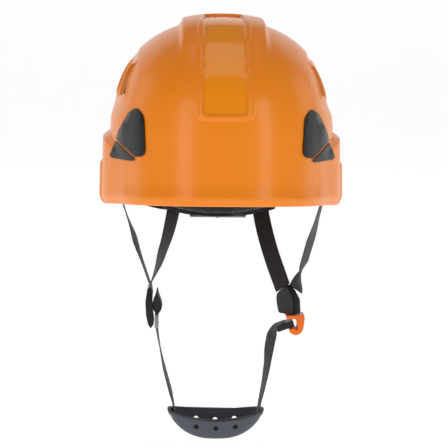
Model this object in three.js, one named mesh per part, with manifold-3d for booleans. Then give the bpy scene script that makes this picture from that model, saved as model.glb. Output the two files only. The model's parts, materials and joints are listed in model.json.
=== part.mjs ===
// Arborist helmet: vented shell, textile cradle, ratchet headband and four-strap chin harness.
// Millimetres, +Z up, the wearer faces -Y. The origin is the centre of the head opening, level with
// the front edge of the rim, where the wearer's head holds the helmet.
import * as THREE from "three";
import { mergeVertices } from "three/addons/utils/BufferGeometryUtils.js";
import Module from "manifold-3d";

const wasm = await Module();
wasm.setup();

// ---------------------------------------------------------------- driving dimensions
const GAP = 0.4; // between pieces that touch
const DOME = { halfWidth: 103, front: 134, rear: 138, equator: 50, crown: 157, plan: 2.25, rise: 2.36 };
const WALL = 3.2; // shell wall
const RIM = { slope: 0.09, front: 138, lowest: -20, flare: 0.014, rollHeight: 10, roll: 2.6 };
const SKIRT = { depth: 6.8, height: 53, frontHeight: 41, edge: 6 }; // the step above the lower band
const BRIM = { depth: 3.2, height: 18 };
const CREST = { height: 6, half: 34, foot: 43, channelTop: 16.2, channelFoot: 19.5, rail: 7 };
const PANEL = { foot: 79, depth: 1.5, pocketDepth: 4.8 };
const SCOOP = { plane: 76.5, depth: 3.4, foot: 80, rearStart: -16, rearEnd: 30 };
const EAR = { half: 17, top: 27, depth: 2, slotHalf: 16, slotWidth: 5.6, slotTop: 8, face: -15, x: 104.4 };
const CLIP = { sink: 0.8, proud: 1.2, swing: 2.3 };
const HOOK = { inside: 40, outside: 64, foot: 40, head: 66, lip: 59 };
const WEBBING = { width: 16, thick: 1.3 };
const LINER = { thick: 14, clear: 1.4 };
const ARCH = { inset: 16, foot: 34, top: 126, width: 20 }; // textile cradle
const BAND_TILT = THREE.MathUtils.degToRad(12.6);
const BAND = { centre: [0, 4, 0], half: 80, front: 94, rear: 97, thick: 1.8 };
const ARM = { thick: 1.8, height: 20, gap: 1.3, eyeFront: -10, eyeRear: 18 };
const PIN = { radius: 2.6, y: 4 };
const RACK = { level: 10, height: 4.6, reach: 22, y: 100.5 };
const HOUSING = { y: 93, depth: 14, half: 28, cover: 20, height: 17, wall: 2 };
const KNOB = { radius: 17, thick: 9, lobes: 12 };
const GEAR = { module: 1.25, teeth: 10, radius: 6.25 }; // size-adjuster pinion
const ANCHOR = { front: 68, rear: 162 }; // directions from straight ahead, degrees
// Where the two straps of a side meet; turn is the direction from the front strap to the rear one in plan.
const FORK = { right: { x: -65, y: 0, z: -94, turn: 90 }, left: { x: 66, y: 0, z: -94, turn: 135 } };
const DIVIDER = { width: 30, right: 32, left: 18.6, thick: 3 };
const LOOP = { x: -59.4, top: -97, foot: -116.5, bulge: 6 };
const LADDER = { x: -60.4, y: 0, z: -124, width: 24, height: 12, thick: 4 };
const BUCKLE = { x: 71, y: 0, top: -119, foot: -136, width: 17, depth: 20, bar: 3.4, side: 5 };
const TONGUE = { reach: 17, thick: 6, lean: THREE.MathUtils.degToRad(20) };
const TONGUE_PLACE = { x: 68.4, z: -127 };
const CUP = { half: 46, depth: 39, rim: -215, dip: 5, low: -236, wall: 2.6, x: -2.6, y: -1 };

// ---------------------------------------------------------------- materials
const plastic = (color, roughness) => new THREE.MeshStandardMaterial({ color, roughness, metalness: 0 });
const ORANGE = plastic("#f58a12", 0.32);
const BUCKLE_ORANGE = plastic("#ff7a2e", 0.45);
const BLACK = plastic("#1b1b1d", 0.5);
const GREY_RUBBER = plastic("#5c6068", 0.75);
const KNOB_GREY = plastic("#8d9096", 0.6);
const TEXTILE = plastic("#2c2b30", 0.9);
const PADDING = plastic("#222226", 0.95);
const MESH_METAL = new THREE.MeshStandardMaterial({ color: "#9a9ca3", roughness: 0.4, metalness: 0.7 });

// ---------------------------------------------------------------- helpers
const deg = THREE.MathUtils.degToRad;
const V = (x, y, z) => new THREE.Vector3(x, y, z);
const smooth = (a, b, v) => THREE.MathUtils.smoothstep(v, a, b);
const mix = THREE.MathUtils.lerp;
const helmet = new THREE.Group();

/** A manifold solid from points and triangles, turned to face outwards. */
function solidOf(points, triangles) {
  const vertProperties = new Float32Array(points.flatMap((p) => [p.x, p.y, p.z]));
  const build = (triVerts) =>
    new wasm.Manifold(new wasm.Mesh({ numProp: 3, vertProperties, triVerts: new Uint32Array(triVerts) }));
  const made = build(triangles.flat());
  return made.volume() > 0 ? made : build(triangles.flatMap(([a, b, c]) => [a, c, b]));
}

/** A manifold solid from a closed three.js geometry. */
function solidFrom(geometry) {
  const bare = geometry.clone().deleteAttribute("normal").deleteAttribute("uv");
  const merged = mergeVertices(bare, 1e-4);
  const vertProperties = merged.attributes.position.array;
  const triVerts = new Uint32Array(merged.index.array);
  return new wasm.Manifold(new wasm.Mesh({ numProp: 3, vertProperties, triVerts }));
}

function geometryOf(solid) {
  const mesh = solid.getMesh();
  const geometry = new THREE.BufferGeometry();
  geometry.setAttribute("position", new THREE.BufferAttribute(new Float32Array(mesh.vertProperties), 3));
  geometry.setIndex(new THREE.BufferAttribute(new Uint32Array(mesh.triVerts), 1));
  geometry.computeVertexNormals();
  return geometry;
}

function add(name, solid, material, group = helmet) {
  const mesh = new THREE.Mesh(geometryOf(solid), material);
  mesh.name = name;
  group.add(mesh);
  return mesh;
}

/** A solid skin over a run of rings with equal point counts; each end is closed with a fan. */
function loft(rings) {
  const count = rings[0].length;
  const points = rings.flat();
  const triangles = [];
  for (let r = 0; r + 1 < rings.length; r++)
    for (let i = 0; i < count; i++) {
      const [a, b] = [r * count + i, r * count + ((i + 1) % count)];
      triangles.push([a, b, b + count], [a, b + count, a + count]);
    }
  for (const [first, flip] of [[0, true], [(rings.length - 1) * count, false]])
    for (let i = 1; i + 1 < count; i++)
      triangles.push(flip ? [first, first + i + 1, first + i] : [first, first + i, first + i + 1]);
  return solidOf(points, triangles);
}

/** A plate between two surfaces given as functions of (u, v), each from 0 to 1. */
function plate(outer, inner, across, up) {
  const rings = [];
  for (let i = 0; i <= across; i++) {
    const ring = [];
    for (let j = 0; j <= up; j++) ring.push(outer(i / across, j / up));
    for (let j = up; j >= 0; j--) ring.push(inner(i / across, j / up));
    rings.push(ring);
  }
  return loft(rings);
}

/** A prism of a flat outline, pushed from near to far along "x" or "y". Outline points are (x or y, z). */
function prism(outline, axis, near, far) {
  const shape = new THREE.Shape(outline.map(([a, b]) => new THREE.Vector2(a, b)));
  const depth = far - near;
  const geometry = new THREE.ExtrudeGeometry(shape, { depth, bevelEnabled: false, curveSegments: 6 });
  const turn = new THREE.Matrix4();
  if (axis === "y") turn.makeBasis(V(1, 0, 0), V(0, 0, 1), V(0, 1, 0));
  else turn.makeBasis(V(0, 1, 0), V(0, 0, 1), V(1, 0, 0));
  geometry.applyMatrix4(turn);
  geometry.translate(axis === "x" ? near : 0, axis === "y" ? near : 0, 0);
  const made = solidFrom(geometry);
  return made.volume() > 0 ? made : solidFrom(flipped(geometry));
}

function flipped(geometry) {
  const merged = geometry.index ? geometry.toNonIndexed() : geometry.clone();
  const p = merged.attributes.position;
  for (let i = 0; i < p.count; i += 3) {
    const [a, b] = [V().fromBufferAttribute(p, i + 1), V().fromBufferAttribute(p, i + 2)];
    p.setXYZ(i + 1, b.x, b.y, b.z);
    p.setXYZ(i + 2, a.x, a.y, a.z);
  }
  return merged;
}

const moved = (solid, x, y, z) => solid.translate([x, y, z]);

function block(width, depth, height, x = 0, y = 0, z = 0) {
  return moved(solidFrom(new THREE.BoxGeometry(width, depth, height)), x, y, z);
}

/** A cylinder along Y. */
function peg(radius, length, x, y, z, sides = 24) {
  const geometry = new THREE.CylinderGeometry(radius, radius, length, sides);
  return moved(solidFrom(geometry), x, y, z);
}

const pegX = (radius, length, x, y, z, sides = 24) =>
  moved(solidFrom(new THREE.CylinderGeometry(radius, radius, length, sides).rotateZ(Math.PI / 2)), x, y, z);

/** Both hands of a piece: the maker is called with -1 for the wearer's right (-X) and 1 for the left. */
const bothSides = (make) => [["right", -1], ["left", 1]].forEach(([hand, side]) => make(hand, side));

// ---------------------------------------------------------------- shell surface
const angleOff = (phi) => Math.abs(Math.atan2(Math.sin(phi), Math.cos(phi)));

/** Half-size of the dome's plan outline in the direction phi, which is 0 at the front and +90 deg at +X. */
function planRadius(phi) {
  const along = Math.cos(phi) > 0 ? DOME.front : DOME.rear;
  const s = Math.abs(Math.sin(phi)) / DOME.halfWidth;
  const c = Math.abs(Math.cos(phi)) / along;
  return (s ** DOME.plan + c ** DOME.plan) ** (-1 / DOME.plan);
}

function rimHeight(phi) {
  const y = -Math.cos(phi) * planRadius(phi);
  const z = -RIM.slope * (y + RIM.front);
  return Math.max(z, mix(z, RIM.lowest, smooth(40, 110, y)));
}

/** Point on the shell without its raised features; level is 0 at the rim, 1 at the equator, 2 at the crown. */
function basePoint(phi, level) {
  const plan = planRadius(phi);
  const off = angleOff(phi);
  const rim = rimHeight(phi);
  let z, r;
  if (level <= 1) {
    z = mix(rim, DOME.equator, level);
    r = plan * (1 + RIM.flare * (1 - level));
    r -= RIM.roll * (1 - smooth(0, RIM.rollHeight, z - rim)) ** 2;
    r += BRIM.depth * (1 - smooth(2, BRIM.height, z - rim)) * (1 - smooth(deg(32), deg(62), off));
  } else {
    const rho = 2 - level; // share of the plan radius left, 1 at the equator
    r = plan * rho;
    z = DOME.equator + (DOME.crown - DOME.equator) * (1 - rho ** DOME.rise) ** (1 / DOME.rise);
  }
  const ledge = mix(SKIRT.frontHeight, SKIRT.height, smooth(deg(48), deg(82), off));
  const below = 1 - smooth(ledge - SKIRT.edge / 2, ledge + SKIRT.edge / 2, z);
  r += SKIRT.depth * smooth(deg(50), deg(74), off) * below;
  const point = V(Math.sin(phi) * r, -Math.cos(phi) * r, z);
  const scoop = SCOOP.depth * smooth(SCOOP.plane, SCOOP.plane + 2.5, Math.abs(point.x)) *
    smooth(SCOOP.foot - 12, SCOOP.foot + 4, z) * (1 - smooth(SCOOP.rearStart, SCOOP.rearEnd, point.y));
  point.x -= Math.sign(point.x) * scoop;
  return point;
}

function normalAt(phi, level) {
  const e = 0.004;
  const lifted = Math.min(level, 1.985);
  const a = basePoint(phi + e, lifted).sub(basePoint(phi - e, lifted));
  const b = basePoint(phi, lifted + e).sub(basePoint(phi, lifted - e));
  const n = a.cross(b).normalize();
  const outward = basePoint(phi, lifted);
  outward.z = Math.max(outward.z - DOME.equator, 0);
  return n.dot(outward) < 0 ? n.negate() : n;
}

/** Raised crown band, its front panel and pocket, and the ear boxes, as an outward offset. */
function feature(p) {
  const [x, y] = [Math.abs(p.x), p.y];
  const fade = smooth(-112, -52, y) * (1 - smooth(60, 118, y));
  let h = CREST.height * (1 - smooth(CREST.half, CREST.foot, x)) * fade;
  const half = mix(CREST.channelFoot, CREST.channelTop, smooth(-125, -30, y));
  const inChannel = 1 - smooth(half - 1, half + 1, x);
  if (y < 0 && p.z > PANEL.foot - 4) {
    const up = smooth(PANEL.foot - 2, PANEL.foot + 2, p.z);
    h += 1.4 * up * (1 - smooth(half + 2, half + CREST.rail, x)) * (1 - smooth(-70, -50, y));
    h -= (PANEL.depth + 1.4 * (1 - smooth(-70, -50, y))) * up * inChannel * (1 - smooth(-14, -8, y));
    h -= (PANEL.pocketDepth - PANEL.depth) * inChannel * smooth(-52, -48, y) * (1 - smooth(-18, -10, y));
  }
  if (y > 0) h -= PANEL.depth * inChannel * smooth(14, 20, y) * (1 - smooth(96, 102, y));
  const underEarTop = 1 - smooth(EAR.top - 1.5, EAR.top + 1.5, p.z);
  const onEar = (1 - smooth(EAR.half - 1, EAR.half + 1, Math.abs(y))) * underEarTop;
  return h + EAR.depth * onEar * smooth(95, 100, x);
}

const outerPoint = (phi, level, lift = 0) => {
  const p = basePoint(phi, level);
  return p.addScaledVector(normalAt(phi, level), feature(p) + lift);
};
const innerPoint = (phi, level, drop = WALL) =>
  basePoint(phi, level).addScaledVector(normalAt(phi, level), -drop);

/** A curved plate that follows the shell between two offsets from its base surface. */
function shellLayer(low, high, from, to, levelFrom, levelTo, across, up) {
  const at = (offset) => (u, v) => {
    const [phi, level] = [mix(from, to, u), mix(levelFrom, levelTo, v)];
    return basePoint(phi, level).addScaledVector(normalAt(phi, level), offset);
  };
  return plate(at(high), at(low), across, up);
}

const clipSkin = (side, low, high) =>
  shellLayer(low, high, deg(side * 24), deg(side * 76), 0.5, 1.22, 12, 8);

/** Outlines of one hand, mirrored for the other: side = -1 keeps them at -X. */
const mirrored = (outline, side) => outline.map(([x, z]) => [-side * x, z]);
const VENTS = {
  front: [[-58, 91], [-36, 88], [-20, 110], [-24, 116], [-42, 118]],
  rear: [[-14, 89], [12, 91], [20, 112], [16, 116], [-2, 118]],
};
const CLIP_LEAF = [[-76.4, 80.4], [-71.5, 75.4], [-69.8, 71], [-68.5, 44.7], [-69.6, 40.6], [-72, 39],
  [-77.5, 38],
  [-95.2, 50.6], [-93, 58], [-89.2, 65.8], [-83.5, 75.5]];
const CLIP_BASE = [[-96, 48.4], [-101.5, 35], [-99.5, 33.6], [-79, 34.2], [-78, 36]];

/** An outline moved outwards by a distance, with its corners kept sharp. */
function grown(outline, by) {
  const count = outline.length;
  const area = outline.reduce((sum, [x, z], i) => {
    const [nx, nz] = outline[(i + 1) % count];
    return sum + x * nz - nx * z;
  }, 0);
  const out = Math.sign(area) * by;
  const edge = (i) => {
    const [a, b] = [outline[(i + count) % count], outline[(i + 1) % count]];
    const length = Math.hypot(b[0] - a[0], b[1] - a[1]);
    return [(b[1] - a[1]) / length, -(b[0] - a[0]) / length];
  };
  return outline.map(([x, z], i) => {
    const [m, n] = [edge(i - 1), edge(i)];
    const scale = out / (1 + m[0] * n[0] + m[1] * n[1]);
    return [x + (m[0] + n[0]) * scale, z + (m[1] + n[1]) * scale];
  });
}

function azimuths() {
  const list = [];
  for (let d = -16; d <= 16; d += 4) list.push(d, d + 180);
  for (let d = 22; d < 163; d += 5.5) list.push(d, -d);
  return list.map((d) => ((d % 360) + 360) % 360).sort((a, b) => a - b).map(deg);
}

function outerShell() {
  const around = azimuths();
  const ring = (make, level) => around.map((phi) => make(phi, level));
  const wallLevels = [0, 0.06, 0.14, 0.26, 0.4, 0.56, 0.72, 0.86, 0.95, 1];
  const domeShares = [0.985, 0.955, 0.91, 0.86, 0.8, 0.73, 0.66, 0.58, 0.5, 0.42, 0.34, 0.26, 0.18, 0.1,
    0.03];
  const innerShares = [0.97, 0.92, 0.86, 0.8, 0.73, 0.65, 0.56, 0.46, 0.32, 0.16, 0.03];
  const innerWall = [1, 0.9, 0.78, 0.6, 0.4, 0.2, 0.08, 0];
  const rings = [
    ...innerShares.slice().reverse().map((s) => ring(innerPoint, 2 - s)),
    ...innerWall.map((level) => ring(innerPoint, level)),
    ...wallLevels.map((level) => ring(outerPoint, level)),
    ...domeShares.map((s) => ring(outerPoint, 2 - s)),
  ];
  let shell = loft(rings);
  for (const side of [-1, 1]) {
    const bossTop = EAR.slotTop + 5;
    const bossMiddle = (bossTop + EAR.face) / 2;
    const boss = block(12, 2 * EAR.half + 6, bossTop - EAR.face, side * (EAR.x - 0.6), 0, bossMiddle);
    const slot = block(EAR.slotWidth, 2 * EAR.slotHalf, 40, side * EAR.x, 0, EAR.slotTop - 20);
    shell = shell.add(boss).subtract(slot);
    for (const outline of Object.values(VENTS)) {
      const cut = prism(outline, "x", side < 0 ? -130 : 60, side < 0 ? -60 : 130);
      shell = shell.subtract(cut);
    }
    const recess = clipSkin(side, -CLIP.sink - GAP, 6);
    const column = (outline) => prism(mirrored(outline, side), "y", -125, -20);
    const seat = grown(CLIP_LEAF, GAP);
    const lifted = seat.map(([x, z]) => [x - CLIP.swing, z]);
    const room = column(seat).add(column(lifted)).hull();
    shell = shell.subtract(recess.intersect(room));
    shell = shell.subtract(recess.intersect(column(grown(CLIP_BASE, GAP))));
    const { inside, outside, foot, head } = HOOK;
    const hookSeat = [[-inside, foot], [-outside, foot], [-outside, head], [-inside, head]];
    const hookPrism = prism(mirrored(grown(hookSeat, GAP), side), "y", 60, 150);
    shell = shell.subtract(hookSkin(side, -CLIP.sink - GAP, 6).intersect(hookPrism));
  }
  add("outer_shell", shell, ORANGE);
}

/** Front headlamp clips: a sprung leaf over a fixed corner, with the strap slit between them. */
function frontClips() {
  bothSides((hand, side) => {
    const skin = clipSkin(side, -CLIP.sink, CLIP.proud);
    const cut = (outline) => skin.intersect(prism(mirrored(outline, side), "y", -125, -20));
    add(`lamp_clip_leaf_${hand}`, cut(CLIP_LEAF), BLACK);
    add(`lamp_clip_corner_${hand}`, cut(CLIP_BASE), BLACK);
  });
}

const hookSkin = (side, low, high) =>
  shellLayer(low, high, deg(side * 170), deg(side * 130), 0.6, 1.2, 8, 6);

/** Rear headlamp hooks: a let-in plate, and a tongue that points down and holds the lamp strap. */
function rearHooks() {
  bothSides((hand, side) => {
    const cut = (low, high, [x1, x2, z1, z2]) =>
      hookSkin(side, low, high).intersect(
        prism(mirrored([[-x1, z1], [-x2, z1], [-x2, z2], [-x1, z2]], side), "y", 60, 150));
    const { inside, outside, foot, head, lip } = HOOK;
    const tongue = cut(3.4, 4.8, [inside + 4, outside - 4, foot + 5, head]);
    const root = cut(0, 4.8, [inside + 4, outside - 4, lip, head]);
    const plateBody = cut(-CLIP.sink, 1.4, [inside, outside, foot, head]);
    add(`lamp_hook_${hand}`, plateBody.add(root).add(tongue), BLACK);
  });
}

function ventGrilles() {
  bothSides((hand, side) => {
    for (const [place, outline] of Object.entries(VENTS)) {
      const [from, to] = side < 0 ? [deg(-118), deg(-44)] : [deg(44), deg(118)];
      const skin = shellLayer(-WALL - 3.4, -WALL - 2.2, from, to, 1.12, 1.42, 12, 6);
      const column = prism(grown(outline, 3), "x", side < 0 ? -130 : 50, side < 0 ? -50 : 130);
      add(`vent_mesh_${place}_${hand}`, skin.intersect(column), MESH_METAL);
    }
  });
}
// ---------------------------------------------------------------- liner and textile cradle
/** Foam liner under the crown, clear of the vents and of the cradle straps below it. */
function energyLiner() {
  const rings = [];
  const around = Array.from({ length: 40 }, (_, i) => (i * 2 * Math.PI) / 40);
  const ring = (drop) => (share) => around.map((phi) => innerPoint(phi, 2 - share, WALL + drop));
  rings.push(...[0.03, 0.15, 0.3, 0.42, 0.52].map(ring(LINER.thick)));
  rings.push(...[0.52, 0.42, 0.3, 0.15, 0.03].map(ring(LINER.clear)));
  add("energy_liner", loft(rings), PADDING);
}

/** Point on the cradle's arch in the direction phi; t is 0 at one hanger and 1 at the opposite one. */
function archPoint(phi, t, drop) {
  const angle = Math.PI * (1 - t);
  const reach = planRadius(phi) - ARCH.inset;
  const along = reach * Math.cos(angle) * -1;
  const z = ARCH.foot + (ARCH.top - drop - ARCH.foot) * Math.sin(angle);
  return V(Math.sin(phi) * along, -Math.cos(phi) * along, z);
}

function cradleStraps() {
  const headings = [["front_to_back", 0], ["right_to_left", 52], ["left_to_right", -52]];
  for (const [index, [name, phi]] of headings.entries()) {
    const heading = deg(phi);
    const drop = index * (WEBBING.thick + 2 * GAP);
    const across = V(Math.cos(heading), Math.sin(heading), 0);
    const rings = [];
    for (let i = 0; i <= 24; i++) {
      const t = mix(0.06, 0.94, i / 24);
      const point = archPoint(heading, t, drop);
      const ahead = archPoint(heading, t + 0.01, drop).sub(archPoint(heading, t - 0.01, drop)).normalize();
      rings.push(section(point, across, ahead.cross(across).normalize(), ARCH.width, WEBBING.thick));
    }
    add(`cradle_strap_${name}`, loft(rings), TEXTILE);
  }
}

/** Four corners of a flat strip's cross-section. */
function section(centre, across, normal, width, thick) {
  const corner = (u, v) =>
    centre.clone().addScaledVector(across, (u * width) / 2).addScaledVector(normal, (v * thick) / 2);
  return [corner(-1, -1), corner(1, -1), corner(1, 1), corner(-1, 1)];
}

function crownPad() {
  const outline = [[0, 0], [30, 0], [33, 2], [33, 4], [30, 6], [0, 6]];
  const profile = outline.map(([r, z]) => new THREE.Vector2(r, z));
  const pad = solidFrom(new THREE.LatheGeometry(profile, 32).rotateX(Math.PI / 2));
  add("crown_pad", moved(pad, 0, 0, ARCH.top - 16), PADDING);
}

/** Plastic hangers in the shell's inner wall that carry the cradle's ends and the headband. */
function cradleHangers() {
  const places = {
    front: 0, rear: 180, front_left: 52, rear_left: 128, front_right: -52, rear_right: -128,
  };
  for (const [place, degrees] of Object.entries(places)) {
    const phi = deg(degrees);
    const half = 12 / planRadius(phi);
    const foot = shellLayer(-WALL - 4.2, -WALL - 1.4, phi - half, phi + half, 0.62, 0.98, 6, 4);
    add(`cradle_hanger_${place}`, foot, BLACK);
  }
}

// ---------------------------------------------------------------- headband
const bandFrame = new THREE.Group();
bandFrame.position.set(...BAND.centre);
bandFrame.rotation.x = -BAND_TILT;
helmet.add(bandFrame);

/** Point on the headband's plan oval, in the band's own frame; phi is 0 at the front and +90 deg at +X. */
function bandPoint(phi, grow, z) {
  const along = (Math.cos(phi) > 0 ? BAND.front : BAND.rear) + grow;
  const across = BAND.half + grow;
  const r = 1 / Math.hypot(Math.sin(phi) / across, Math.cos(phi) / along);
  return V(Math.sin(phi) * r, -Math.cos(phi) * r, z);
}

function bandStrip(from, to, low, high, bottom, top, steps) {
  const edge = (grow) => (u, v) => {
    const phi = deg(mix(from, to, u));
    return bandPoint(phi, grow, mix(bottom(u), top(u), v));
  };
  return plate(edge(high), edge(low), steps, 1);
}

function headband() {
  const rise = (u) => 15 - 5 * Math.abs(2 * u - 1) ** 4;
  const holes = [-1, 1].map((side) => pegX(PIN.radius + GAP, 12, side * (BAND.half + 1), PIN.y, 0));
  const strip = bandStrip(-96, 96, 0, BAND.thick, (u) => -rise(u), rise, 36);
  add("headband", strip.subtract(holes[0]).subtract(holes[1]), BLACK, bandFrame);
  const pad = bandStrip(-58, 58, -4.6, -GAP, () => -17, () => 17, 24);
  add("sweat_pad", pad, PADDING, bandFrame);
}

/** Arms from the temple pins to the racks inside the nape housing: one rack above the pinion, one below. */
function rackArms() {
  const grow = BAND.thick + ARM.gap + ARM.thick / 2;
  const up = V(0, 0, 1);
  bothSides((hand, side) => {
    const pivot = V(side * (BAND.half + grow), PIN.y, 0);
    const flat = (y) => section(V(pivot.x, y, 0), up, V(-1, 0, 0), ARM.height, ARM.thick);
    const rings = [flat(ARM.eyeFront), flat(ARM.eyeRear)];
    for (let i = 0; i <= 14; i++) {
      const phi = side * mix(108, 152, i / 14);
      const centre = bandPoint(deg(phi), grow, 0);
      const ahead = bandPoint(deg(phi + side), grow, 0).sub(bandPoint(deg(phi - side), grow, 0));
      const slim = smooth(0.1, 0.9, i / 14);
      centre.z = mix(0, side * RACK.level, slim);
      const height = mix(ARM.height, RACK.height, slim);
      rings.push(section(centre, up, up.clone().cross(ahead.normalize()), height, ARM.thick));
    }
    const level = side * RACK.level;
    for (const [x, y, turn] of [[31, -3.6, 28], [26, -0.9, 12], [22, 0, 0], [-RACK.reach, 0, 0]]) {
      const normal = V(side * -Math.sin(deg(turn)), -side * Math.cos(deg(turn)), 0);
      rings.push(section(V(side * x, RACK.y + y, level), up, normal, RACK.height, ARM.thick));
    }
    let arm = loft(rings);
    for (let k = 0; k < 9; k++) {
      const x = side * (5 - RACK.reach + k * Math.PI * GEAR.module);
      const foot = level - side * RACK.height / 2;
      arm = arm.subtract(block(GEAR.module * 1.5, 9, 2.6, x, RACK.y, foot));
    }
    arm = arm.subtract(pegX(PIN.radius + 2 * GAP, 8, pivot.x, PIN.y, 0));
    add(`rack_arm_${hand}`, arm, BLACK, bandFrame);
    const head = pegX(PIN.radius + 2, 1.4, pivot.x + side * (ARM.thick / 2 + ARM.gap + 0.7), PIN.y, 0);
    const shaft = pegX(PIN.radius, 6, pivot.x - side * 0.7, PIN.y, 0);
    add(`temple_pin_${hand}`, head.add(shaft), BLACK, bandFrame);
  });
}

/** Nape cradle, hollow housing, its cover, the pinion on the knob's shaft, and the knob. */
function napeAdjuster() {
  const { y, depth, half, height, wall } = HOUSING;
  const body = block(2 * half, depth, 2 * height, 0, y + depth / 2, 0);
  const hollow = block(2 * half + 4, depth, 2 * (height - wall), 0, y + depth / 2 - wall, 0);
  const bore = peg(4, 10, 0, y + depth, 0);
  add("ratchet_housing", body.subtract(hollow).subtract(bore), BLACK, bandFrame);
  add("ratchet_cover", block(2 * HOUSING.cover, 1.8, 2 * height, 0, y - 1.3, 0), BLACK, bandFrame);
  const teeth = [];
  for (let k = 0; k < GEAR.teeth * 2; k++) {
    const angle = (k * Math.PI) / GEAR.teeth;
    const r = GEAR.radius + (k % 2 ? -GEAR.module : GEAR.module) * 0.7;
    for (const off of [-0.09, 0.09]) teeth.push([Math.sin(angle + off) * r, Math.cos(angle + off) * r]);
  }
  add("pinion", prism(teeth, "y", y + 1.5, y + depth - wall - GAP), KNOB_GREY, bandFrame);
  const lobes = [];
  for (let k = 0; k < 96; k++) {
    const angle = (k * 2 * Math.PI) / 96;
    const r = KNOB.radius - 1 + Math.cos(angle * KNOB.lobes) * 0.9;
    lobes.push([Math.sin(angle) * r, Math.cos(angle) * r]);
  }
  const disc = prism(lobes, "y", y + depth + GAP, y + depth + GAP + KNOB.thick);
  const shaft = peg(3.4, wall + GAP, 0, y + depth + GAP / 2 - wall / 2 + 0.2, 0);
  add("adjuster_knob", disc.add(shaft), KNOB_GREY, bandFrame);
  const cradleFoot = (u) => -13 - 5 * Math.sin(Math.PI * u);
  const cradle = bandStrip(180 - 44, 180 + 44, -9.6, -7.8, cradleFoot, () => 13, 24);
  add("nape_cradle", cradle, BLACK, bandFrame);
  const padFoot = (u) => -11 - 4 * Math.sin(Math.PI * u);
  const pad = bandStrip(180 - 36, 180 + 36, -14, -9.6 - GAP, padFoot, () => 11, 20);
  add("nape_pad", pad, PADDING, bandFrame);
}

// ---------------------------------------------------------------- chin harness
/** A webbing strip along a curve. A stop is [x, y, z, heading]; the heading turns its width from X to Y. */
function webbing(name, stops, width = WEBBING.width, steps = 16) {
  const curve = new THREE.CatmullRomCurve3(stops.map(([x, y, z]) => V(x, y, z)), false, "centripetal");
  const rings = [];
  for (let i = 0; i <= steps; i++) {
    const t = i / steps;
    const spot = t * (stops.length - 1);
    const low = Math.min(Math.floor(spot), stops.length - 2);
    const heading = deg(mix(stops[low][3], stops[low + 1][3], spot - low));
    const tangent = curve.getTangent(t);
    const wide = V(Math.cos(heading), Math.sin(heading), 0);
    const normal = tangent.clone().cross(wide).normalize();
    const across = normal.clone().cross(tangent).normalize();
    rings.push(section(curve.getPoint(t), across, normal, width, WEBBING.thick));
  }
  return add(name, loft(rings), TEXTILE);
}

function strapAnchors() {
  bothSides((hand, side) => {
    for (const [place, degrees] of [["front", ANCHOR.front], ["rear", ANCHOR.rear]]) {
      const phi = deg(side * degrees);
      const half = 11 / planRadius(phi);
      const anchor = shellLayer(-WALL - 4.4, -WALL - 1.6, phi - half, phi + half, 0.2, 0.55, 5, 4);
      add(`strap_anchor_${place}_${hand}`, anchor, BLACK);
    }
  });
}

function harness() {
  const top = (side, degrees, level, drop) => innerPoint(deg(side * degrees), level, WALL + drop);
  const between = (a, b, share, back) => {
    const spot = a.clone().lerp(b, share);
    return [spot.x, spot.y + back, spot.z];
  };
  bothSides((hand, side) => {
    const fork = FORK[hand];
    const turn = deg(fork.turn);
    const along = V(Math.cos(turn), Math.sin(turn), 0);
    const out = V(Math.sin(turn), -Math.cos(turn), 0).multiplyScalar(1.3);
    const foot = V(fork.x, fork.y, fork.z);
    const front = foot.clone().addScaledVector(along, -7).add(out);
    const rear = foot.clone().addScaledVector(along, 7).sub(out);
    const f = top(side, ANCHOR.front, 0.3, 7.4);
    const r = top(side, ANCHOR.rear, 0.4, 8.6);
    const settle = side * fork.turn;
    webbing(`front_strap_${hand}`, [
      [f.x, f.y, f.z, side * ANCHOR.front],
      [...between(f, front, 0.3, -2), side * 62],
      [...between(f, front, 0.72, -3), side * 74],
      [front.x, front.y, front.z, settle],
    ]);
    webbing(`rear_strap_${hand}`, [
      [r.x, r.y, r.z, side * ANCHOR.rear],
      [...between(r, rear, 0.3, 3), side * 140],
      [...between(r, rear, 0.72, 4), side * 115],
      [rear.x, rear.y, rear.z, settle],
    ]);
    const { width, thick } = DIVIDER;
    const height = DIVIDER[hand];
    const windows = block(20, width - 8, 3.4, 0, 0, -height - 1).add(block(20, width - 8, 3.4, 0, 0, -9));
    const divider = block(thick, width, height, 0, 0, -height / 2 - 5).subtract(windows);
    const turned = divider.rotate([0, 0, fork.turn - 90]);
    add(`strap_divider_${hand}`, moved(turned, fork.x, fork.y, fork.z), BLACK);
  });
}

/** The folded webbing between the right divider and the ladder lock, and the lock itself. */
function rightAdjuster() {
  const { x: middle, top, foot, bulge } = LOOP;
  const outline = [];
  for (let k = 0; k <= 12; k++) {
    const t = k / 12;
    outline.push([(Math.sin(Math.PI * t ** 1.3) * bulge) / 2 + 0.5, mix(top, foot, t)]);
  }
  const closed = [...outline, ...outline.slice().reverse().map(([a, z]) => [-a, z])];
  const wide = WEBBING.width;
  const placed = closed.map(([a, z]) => [middle + a, z]);
  add("strap_loop_right", prism(placed, "y", -wide / 2, wide / 2), TEXTILE);
  const { x, y, z, width, height, thick } = LADDER;
  const bars = [-1, 1].map((way) => block(12, width - 5, 2.6, x, y, z + (way * height) / 4));
  add("ladder_lock", block(thick, width, height, x, y, z).subtract(bars[0]).subtract(bars[1]), BLACK);
}

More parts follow.
